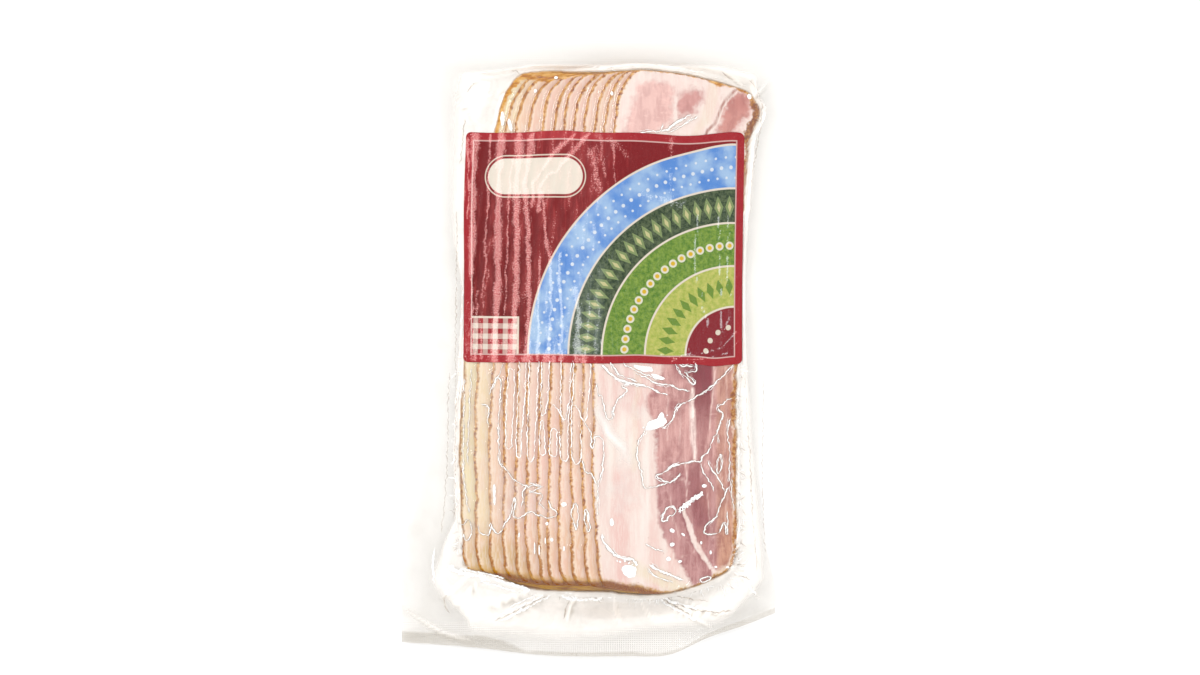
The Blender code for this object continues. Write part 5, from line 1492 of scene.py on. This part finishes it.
def label_material():
    t = Nodes("label_print")
    spot = t.attribute("spot", "Vector")
    wear_sheen = t.attribute("wear_sheen")
    split = t.node("ShaderNodeSeparateXYZ", {0: spot})
    u, v = split.outputs[0], split.outputs[1]
    half_w, half_h = LABEL_WIDTH / 2, LABEL_HEIGHT / 2
    cream = ink(246, 232, 214)

    def blot(distance, soft=0.12):
        """1 inside a shape whose distance is positive inside."""
        return t.step(distance, -soft, soft)

    def length(a, b):
        return t.math("SQRT", t.math("ADD", t.math("MULTIPLY", a, a), t.math("MULTIPLY", b, b)))

    def cell(value, pitch, shift=0.0):
        """Distance from the middle of each repeat."""
        part = t.math("FRACT", t.math("ADD", t.math("DIVIDE", value, pitch), 50.0 + shift))
        return t.math("MULTIPLY", t.math("SUBTRACT", part, 0.5), pitch)

    # distance in from the label's outline
    side = t.math("SUBTRACT", half_w, t.math("ABSOLUTE", u))
    end = t.math("SUBTRACT", half_h, t.math("ABSOLUTE", v))
    inward = t.math("MINIMUM", side, end)
    panel = blot(t.math("SUBTRACT", inward, 3.5))
    keyline = t.math("SUBTRACT", blot(t.math("SUBTRACT", inward, 3.0)), blot(t.math("SUBTRACT", inward, 3.5)))

    # the ground: deep red, a little darker to the lower left
    shade = t.math("ADD", t.math("MULTIPLY", u, 0.004), t.math("MULTIPLY", v, 0.006))
    colour = t.mix(t.math("ADD", shade, 0.5, clamp=True), ink(112, 22, 30), ink(142, 32, 40))

    # broad quarter rings about the lower right corner, in sky and meadow colours
    du = t.math("SUBTRACT", half_w - 3.5, u)
    dv = t.math("ADD", v, half_h - 3.5)
    radius = length(du, dv)
    turn = t.math("ARCTAN2", dv, du)
    leafy = t.noise(spot, 0.55, 5.0, 0.7)
    broad = t.noise(spot, 0.09, 3.0, 0.5)
    sky = t.mix(t.step(broad, 0.35, 0.65), ink(96, 150, 226), ink(176, 208, 244))
    wood = t.mix(t.step(leafy, 0.3, 0.7), ink(36, 58, 38), ink(104, 118, 84))
    field = t.mix(t.step(leafy, 0.3, 0.7), ink(84, 130, 44), ink(150, 178, 76))
    lime = t.mix(t.step(leafy, 0.3, 0.7), ink(166, 186, 78), ink(216, 212, 118))
    for reach, fill in ((86.0, sky), (69.0, wood), (55.0, field), (37.0, lime)):
        colour = t.mix(blot(t.math("SUBTRACT", reach + 0.8, radius)), colour, cream)
        colour = t.mix(blot(t.math("SUBTRACT", reach, radius)), colour, fill)
    colour = t.mix(blot(t.math("SUBTRACT", 20.8, radius)), colour, cream)
    colour = t.mix(blot(t.math("SUBTRACT", 20.0, radius)), colour, ink(146, 40, 48))

    def lozenges(colour, middle, count, half_long, half_wide, fill, shift=0.0):
        """A row of small lozenges along a ring."""
        along = t.math("MULTIPLY", cell(turn, math.pi / 2 / count, shift), middle)
        off = t.math("SUBTRACT", radius, middle)
        size = t.math("ADD", t.math("DIVIDE", t.math("ABSOLUTE", along), half_long), t.math("DIVIDE", t.math("ABSOLUTE", off), half_wide))
        return t.mix(blot(t.math("SUBTRACT", 1.0, size), 0.05), colour, fill)

    def discs(colour, middle, count, size, fill, shift=0.0):
        along = t.math("MULTIPLY", cell(turn, math.pi / 2 / count, shift), middle)
        return t.mix(blot(t.math("SUBTRACT", size, length(along, t.math("SUBTRACT", radius, middle)))), colour, fill)

    colour = lozenges(colour, 62.0, 21, 1.9, 4.6, ink(140, 158, 104))
    colour = lozenges(colour, 62.0, 21, 0.8, 2.2, ink(214, 208, 150))
    colour = discs(colour, 77.6, 30, 0.75, ink(232, 240, 250))
    colour = discs(colour, 81.6, 30, 0.5, ink(232, 240, 250), 0.5)
    colour = discs(colour, 73.6, 30, 0.5, ink(232, 240, 250), 0.5)
    colour = lozenges(colour, 28.8, 11, 1.6, 3.6, ink(118, 152, 60))
    colour = discs(colour, 46.0, 17, 1.7, ink(240, 236, 214))
    colour = discs(colour, 46.0, 17, 0.9, ink(234, 190, 52))
    colour = discs(colour, 12.0, 4, 1.1, ink(240, 226, 206))

    # a blank cream plaque with rounded ends on the red, ringed in red and cream
    pu = t.math("MAXIMUM", t.math("SUBTRACT", t.math("ABSOLUTE", t.math("ADD", u, 29.0)), 12.5), 0.0)
    reach = length(pu, t.math("ADD", v, -29.5))
    for size, fill in ((8.7, (240, 224, 206)), (8.2, (140, 36, 44)), (7.3, (250, 240, 224))):
        colour = t.mix(blot(t.math("SUBTRACT", size, reach)), colour, ink(*fill))

    # a chequered band down at the left, its squares in cream, pink and red as on table linen
    across = t.step(cell(t.math("ADD", u, 0.0), 4.2), -0.02, 0.02)
    down = t.step(cell(t.math("ADD", v, 0.0), 4.2), -0.02, 0.02)
    linen = t.mix(t.math("MULTIPLY", t.math("ADD", across, down), 0.5), ink(246, 234, 218), ink(168, 48, 56))
    low = t.math("SUBTRACT", -29.4, v)
    left = t.math("SUBTRACT", -36.0, u)
    corner = t.math("MINIMUM", low, left)
    colour = t.mix(blot(t.math("ADD", corner, 0.8)), colour, cream)
    colour = t.mix(blot(corner), colour, linen)

    border = t.mix(t.noise(spot, 0.3, 3.0, 0.6), ink(168, 36, 46), ink(184, 56, 62))
    colour = t.mix(panel, border, colour)
    colour = t.mix(t.math("MULTIPLY", keyline, 0.8), colour, ink(238, 206, 198))

    # worn ink and painted sheen: pale, grainy streaks along the bends, and faint lengthwise painted highlights of
    # crinkles on the left half
    grain = t.noise(spot, 1.5, 4.0, 0.8)
    speck = t.noise(spot, 2.3, 2.0, 0.7)
    coarse = t.noise(spot, 0.6, 4.0, 0.7, stretch=(1.0, 0.35, 1.0))
    ragged = t.math("ADD", wear_sheen, t.math("ADD", t.math("MULTIPLY", t.math("SUBTRACT", grain, 0.5), 2.4), t.math("MULTIPLY", t.math("SUBTRACT", coarse, 0.5), 1.4)))
    worn_and_sheen = t.math("MULTIPLY", t.step(ragged, 0.34, 0.75), 0.85)
    bend = t.attribute("bend")
    # the red ground pales to pink and the rings to paler tones of their own, from wear and from painted sheen
    rings = t.math("MULTIPLY", blot(t.math("SUBTRACT", 86.0, radius)), panel)
    colour = t.mix(t.math("MULTIPLY", t.step(speck, 0.5, 0.62), 0.5), colour, t.mix(rings, ink(104, 42, 42), ink(74, 78, 82)), "SCREEN")
    colour = t.mix(t.math("MULTIPLY", bend, 0.5), colour, t.mix(rings, ink(150, 72, 70), ink(110, 116, 118)), "SCREEN")
    pale = t.mix(1.0, colour, t.mix(rings, ink(202, 110, 108), ink(164, 172, 176)), "SCREEN")
    white = t.mix(1.0, colour, t.mix(rings, ink(254, 204, 199), ink(226, 228, 226)), "SCREEN")
    colour = t.mix(worn_and_sheen, colour, t.mix(t.step(speck, 0.47, 0.56), pale, white))
    crinkle_highlight = t.noise(spot, 0.9, 4.0, 0.65, stretch=(1.0, 0.1, 1.0))
    left = t.math("SUBTRACT", 1.0, t.step(u, -15.0, 25.0))
    colour = t.mix(t.math("MULTIPLY", t.math("MULTIPLY", t.step(crinkle_highlight, 0.5, 0.72), t.math("ADD", t.math("MULTIPLY", left, 0.8), 0.2)), 0.4), colour, t.mix(rings, ink(180, 80, 78), ink(124, 130, 134)), "SCREEN")

    crinkle = t.noise(spot, 0.8, 5.0, 0.65)
    ridges = t.math("ADD", t.math("MULTIPLY", t.math("MINIMUM", ragged, 1.2), 0.5), t.math("ADD", crinkle, t.math("MULTIPLY", t.noise(spot, 0.22, 3.0, 0.6), 1.5)))
    bump = t.node("ShaderNodeBump", {"Strength": 0.55, "Distance": 0.0004, "Height": ridges}).outputs[0]
    rough = t.node("ShaderNodeMapRange", {"Value": worn_and_sheen, "From Min": 0.0, "From Max": 0.6, "To Min": 0.3, "To Max": 0.6}).outputs[0]
    shader = t.node("ShaderNodeBsdfPrincipled", {"Base Color": colour, "Roughness": rough, "Normal": bump})
    shader.inputs["Specular IOR Level"].default_value = 0.18
    return t.output(shader.outputs[0])


label_rise = curve(((-58.0, 1.2), (-44.0, 1.1), (-34.0, 1.3), (-26.0, 1.9), (-17.0, 2.1), (-8.0, 1.5), (0.0, 1.2), (12.0, 1.3), (24.0, 0.9), (32.0, 0.5), (39.0, 0.9), (47.0, 2.0), (54.0, 2.7), (60.0, 2.3)))
label_drop = curve(((-58.0, 1.3), (-40.0, 1.2), (-25.0, 0.9), (5.0, 0.9), (15.0, 0.5), (25.0, 0.9), (40.0, 0.9), (47.0, 1.5), (54.0, 0.7), (60.0, 0.2)))


def build_label(mat):
    half_w, half_h = LABEL_WIDTH / 2, LABEL_HEIGHT / 2
    ca, sa = math.cos(LABEL_TURN), math.sin(LABEL_TURN)
    left = np.linspace(-half_w, 6.0, 158)
    right = np.linspace(6.0, half_w, 66)[1:]
    r = LABEL_CORNER
    corner = r * (1 - np.cos(np.linspace(0, math.pi / 2, 6)))
    us = np.unique(np.round(np.concatenate([-half_w + corner, left, right, half_w - corner]), 4))
    vs = np.unique(np.round(np.concatenate([-half_h + corner, np.linspace(-half_h, half_h, 122), half_h - corner]), 4))
    # rounded corners: the end rows and columns pull in
    u, v = np.meshgrid(us, vs, indexing="ij")
    near_end = half_h - np.abs(v)
    pull = np.where(near_end < r, r - np.sqrt(np.maximum(r * r - (r - near_end) ** 2, 0)), 0.0)
    u = u * (half_w - pull) / half_w
    # the edges aren't straight: the sheet waves where it crosses the slices
    printed = np.stack([u, v, np.zeros_like(u)], -1)
    up, down = np.clip(v / half_h, 0, 1) ** 2, np.clip(-v / half_h, 0, 1) ** 2
    v = v + label_rise(u) * up - label_drop(u) * down
    u = u + 0.5 * np.clip(u / half_w, 0, 1) * down - 0.7 * np.clip(-u / half_w, 0, 1) * np.exp(-(((v - 18.0) / 24.0) ** 2))
    x = LABEL_CENTRE[0] + u * ca - v * sa
    y = LABEL_CENTRE[1] + u * sa + v * ca
    smooth_film = blur(film_top, 2.6)
    z = np.maximum(sample(smooth_film, x, y), sample(film_top, x, y)) + 0.07
    wear_sheen = np.zeros(x.shape)
    lift = np.zeros(x.shape)
    for half, strength, line in LABEL_WEAR_SHEEN:
        d, t = line_distance(line, x + 0.5 * noise(x, y, 4.0, 802) + 0.25 * noise(x, y, 1.3, 803), y)
        w = half * (0.75 + 0.4 * noise(x * 0.1, y, 6.0, 804))
        wear_sheen = np.maximum(wear_sheen, strength * np.exp(-((d / w) ** 2) * 1.1))
        lift = np.maximum(lift, 0.28 * strength * min(half, 1.2) * np.exp(-((d / (half * 1.1)) ** 2)))
    # where the sheet bends over each slice's edge it is painted lighter, a painted highlight, and worn most along the
    # low border
    bend = np.zeros(x.shape)
    for k in range(1, SLICE_COUNT):
        d = x - edge_line(k, y) - 1.2 + 0.9 * noise(x * 0.05 + 9.0 * k, y, 7.0, 810) + 0.3 * noise(x, y, 1.6, 811)
        fade = np.clip(0.75 + 0.9 * noise(x * 0.05 + 11.0 * k, y, 6.0, 812), 0.1, 1.0)
        low_border = ease((1.5 - y) / 6.0)
        wear_sheen = np.maximum(wear_sheen, fade * (0.42 + 0.43 * low_border) * np.exp(-((d / (0.9 + 0.5 * low_border)) ** 2)))
        bend = np.maximum(bend, fade * np.exp(-((d / 1.9) ** 2)) * ease((20.0 - x) / 20.0))
    wrinkle = 0.05 * noise(x, y * 0.2, 1.3, 805) * ease((6.0 - x) / 20.0) + 0.04 * noise(x, y, 3.2, 806)
    edge = np.minimum(half_w - np.abs(u), half_h - np.abs(v))
    z = z + (lift + wrinkle) * ease(edge / 1.2) + 0.02
    low = np.stack([x, y, z - 0.06], -1)
    top = np.stack([x, y, z + 0.08], -1)
    ring = np.zeros(x.shape, bool)
    ring[0, :] = ring[-1, :] = ring[:, 0] = ring[:, -1] = True
    top[ring, 2] = z[ring]
    verts, faces, source = closed_grid(top, low)
    spot = printed.reshape(-1, 3)[source]
    attributes = [("spot", "FLOAT_VECTOR", spot), ("wear_sheen", "FLOAT", wear_sheen.reshape(-1)[source]), ("bend", "FLOAT", bend.reshape(-1)[source])]
    return put("printed_label", verts, faces, mat, ["label"], attributes)


build_label(label_material())

# ------------------------------------------------------------------ floor, light and camera


def build_floor():
    me = bpy.data.meshes.new("floor")
    s = 4.0
    me.from_pydata([(-s, -s, -0.0003), (s, -s, -0.0003), (s, s, -0.0003), (-s, s, -0.0003)], [], [(0, 1, 2, 3)])
    t = Nodes("floor")
    shader = t.node("ShaderNodeBsdfPrincipled", {"Base Color": (0.77, 0.765, 0.76), "Roughness": 0.9})
    shader.inputs["Specular IOR Level"].default_value = 0.1
    me.materials.append(t.output(shader.outputs[0]))
    obj = bpy.data.objects.new("floor", me)
    bpy.context.scene.collection.objects.link(obj)


def area_light(name, place, size, power, colour=(1, 1, 1)):
    data = bpy.data.lights.new(name, "AREA")
    data.shape = "RECTANGLE"
    data.size, data.size_y = size
    data.energy = power
    data.color = colour
    obj = bpy.data.objects.new(name, data)
    obj.location = place
    obj.rotation_euler = (Vector((0, 0, 0)) - Vector(place)).to_track_quat("-Z", "Y").to_euler()
    obj.visible_camera = False
    bpy.context.scene.collection.objects.link(obj)


build_floor()
area_light("key_left", (-1.35, 0.5, 0.8), (0.7, 0.7), 14.0)
area_light("fill_right", (1.35, -0.45, 0.75), (0.7, 0.7), 10.0)
area_light("top_end", (0.2, 1.4, 0.75), (1.8, 1.0), 6.0)
area_light("low_end", (-0.2, -1.4, 0.75), (1.8, 1.0), 4.0)

world = bpy.data.worlds.new("studio")
world.use_nodes = True
background = world.node_tree.nodes["Background"]
background.inputs["Color"].default_value = (1.0, 1.0, 1.0, 1.0)
background.inputs["Strength"].default_value = 1.0
bpy.context.scene.world = world

view = bpy.context.scene.view_settings
view.view_transform = "Standard"
view.look = "None"
view.exposure = 0.0
view.gamma = 1.0

camera_data = bpy.data.cameras.new("camera")
camera_data.sensor_width = 36.0
camera_data.lens = 120.0
FRAME_WIDTH = 0.504
distance = FRAME_WIDTH * camera_data.lens / camera_data.sensor_width
camera = bpy.data.objects.new("camera", camera_data)
camera.location = (0.00336, 0.00475, distance + 0.010)
camera.rotation_euler = (0, 0, 0)
camera_data.clip_start, camera_data.clip_end = 0.05, 20.0
bpy.context.scene.collection.objects.link(camera)
bpy.context.scene.camera = camera
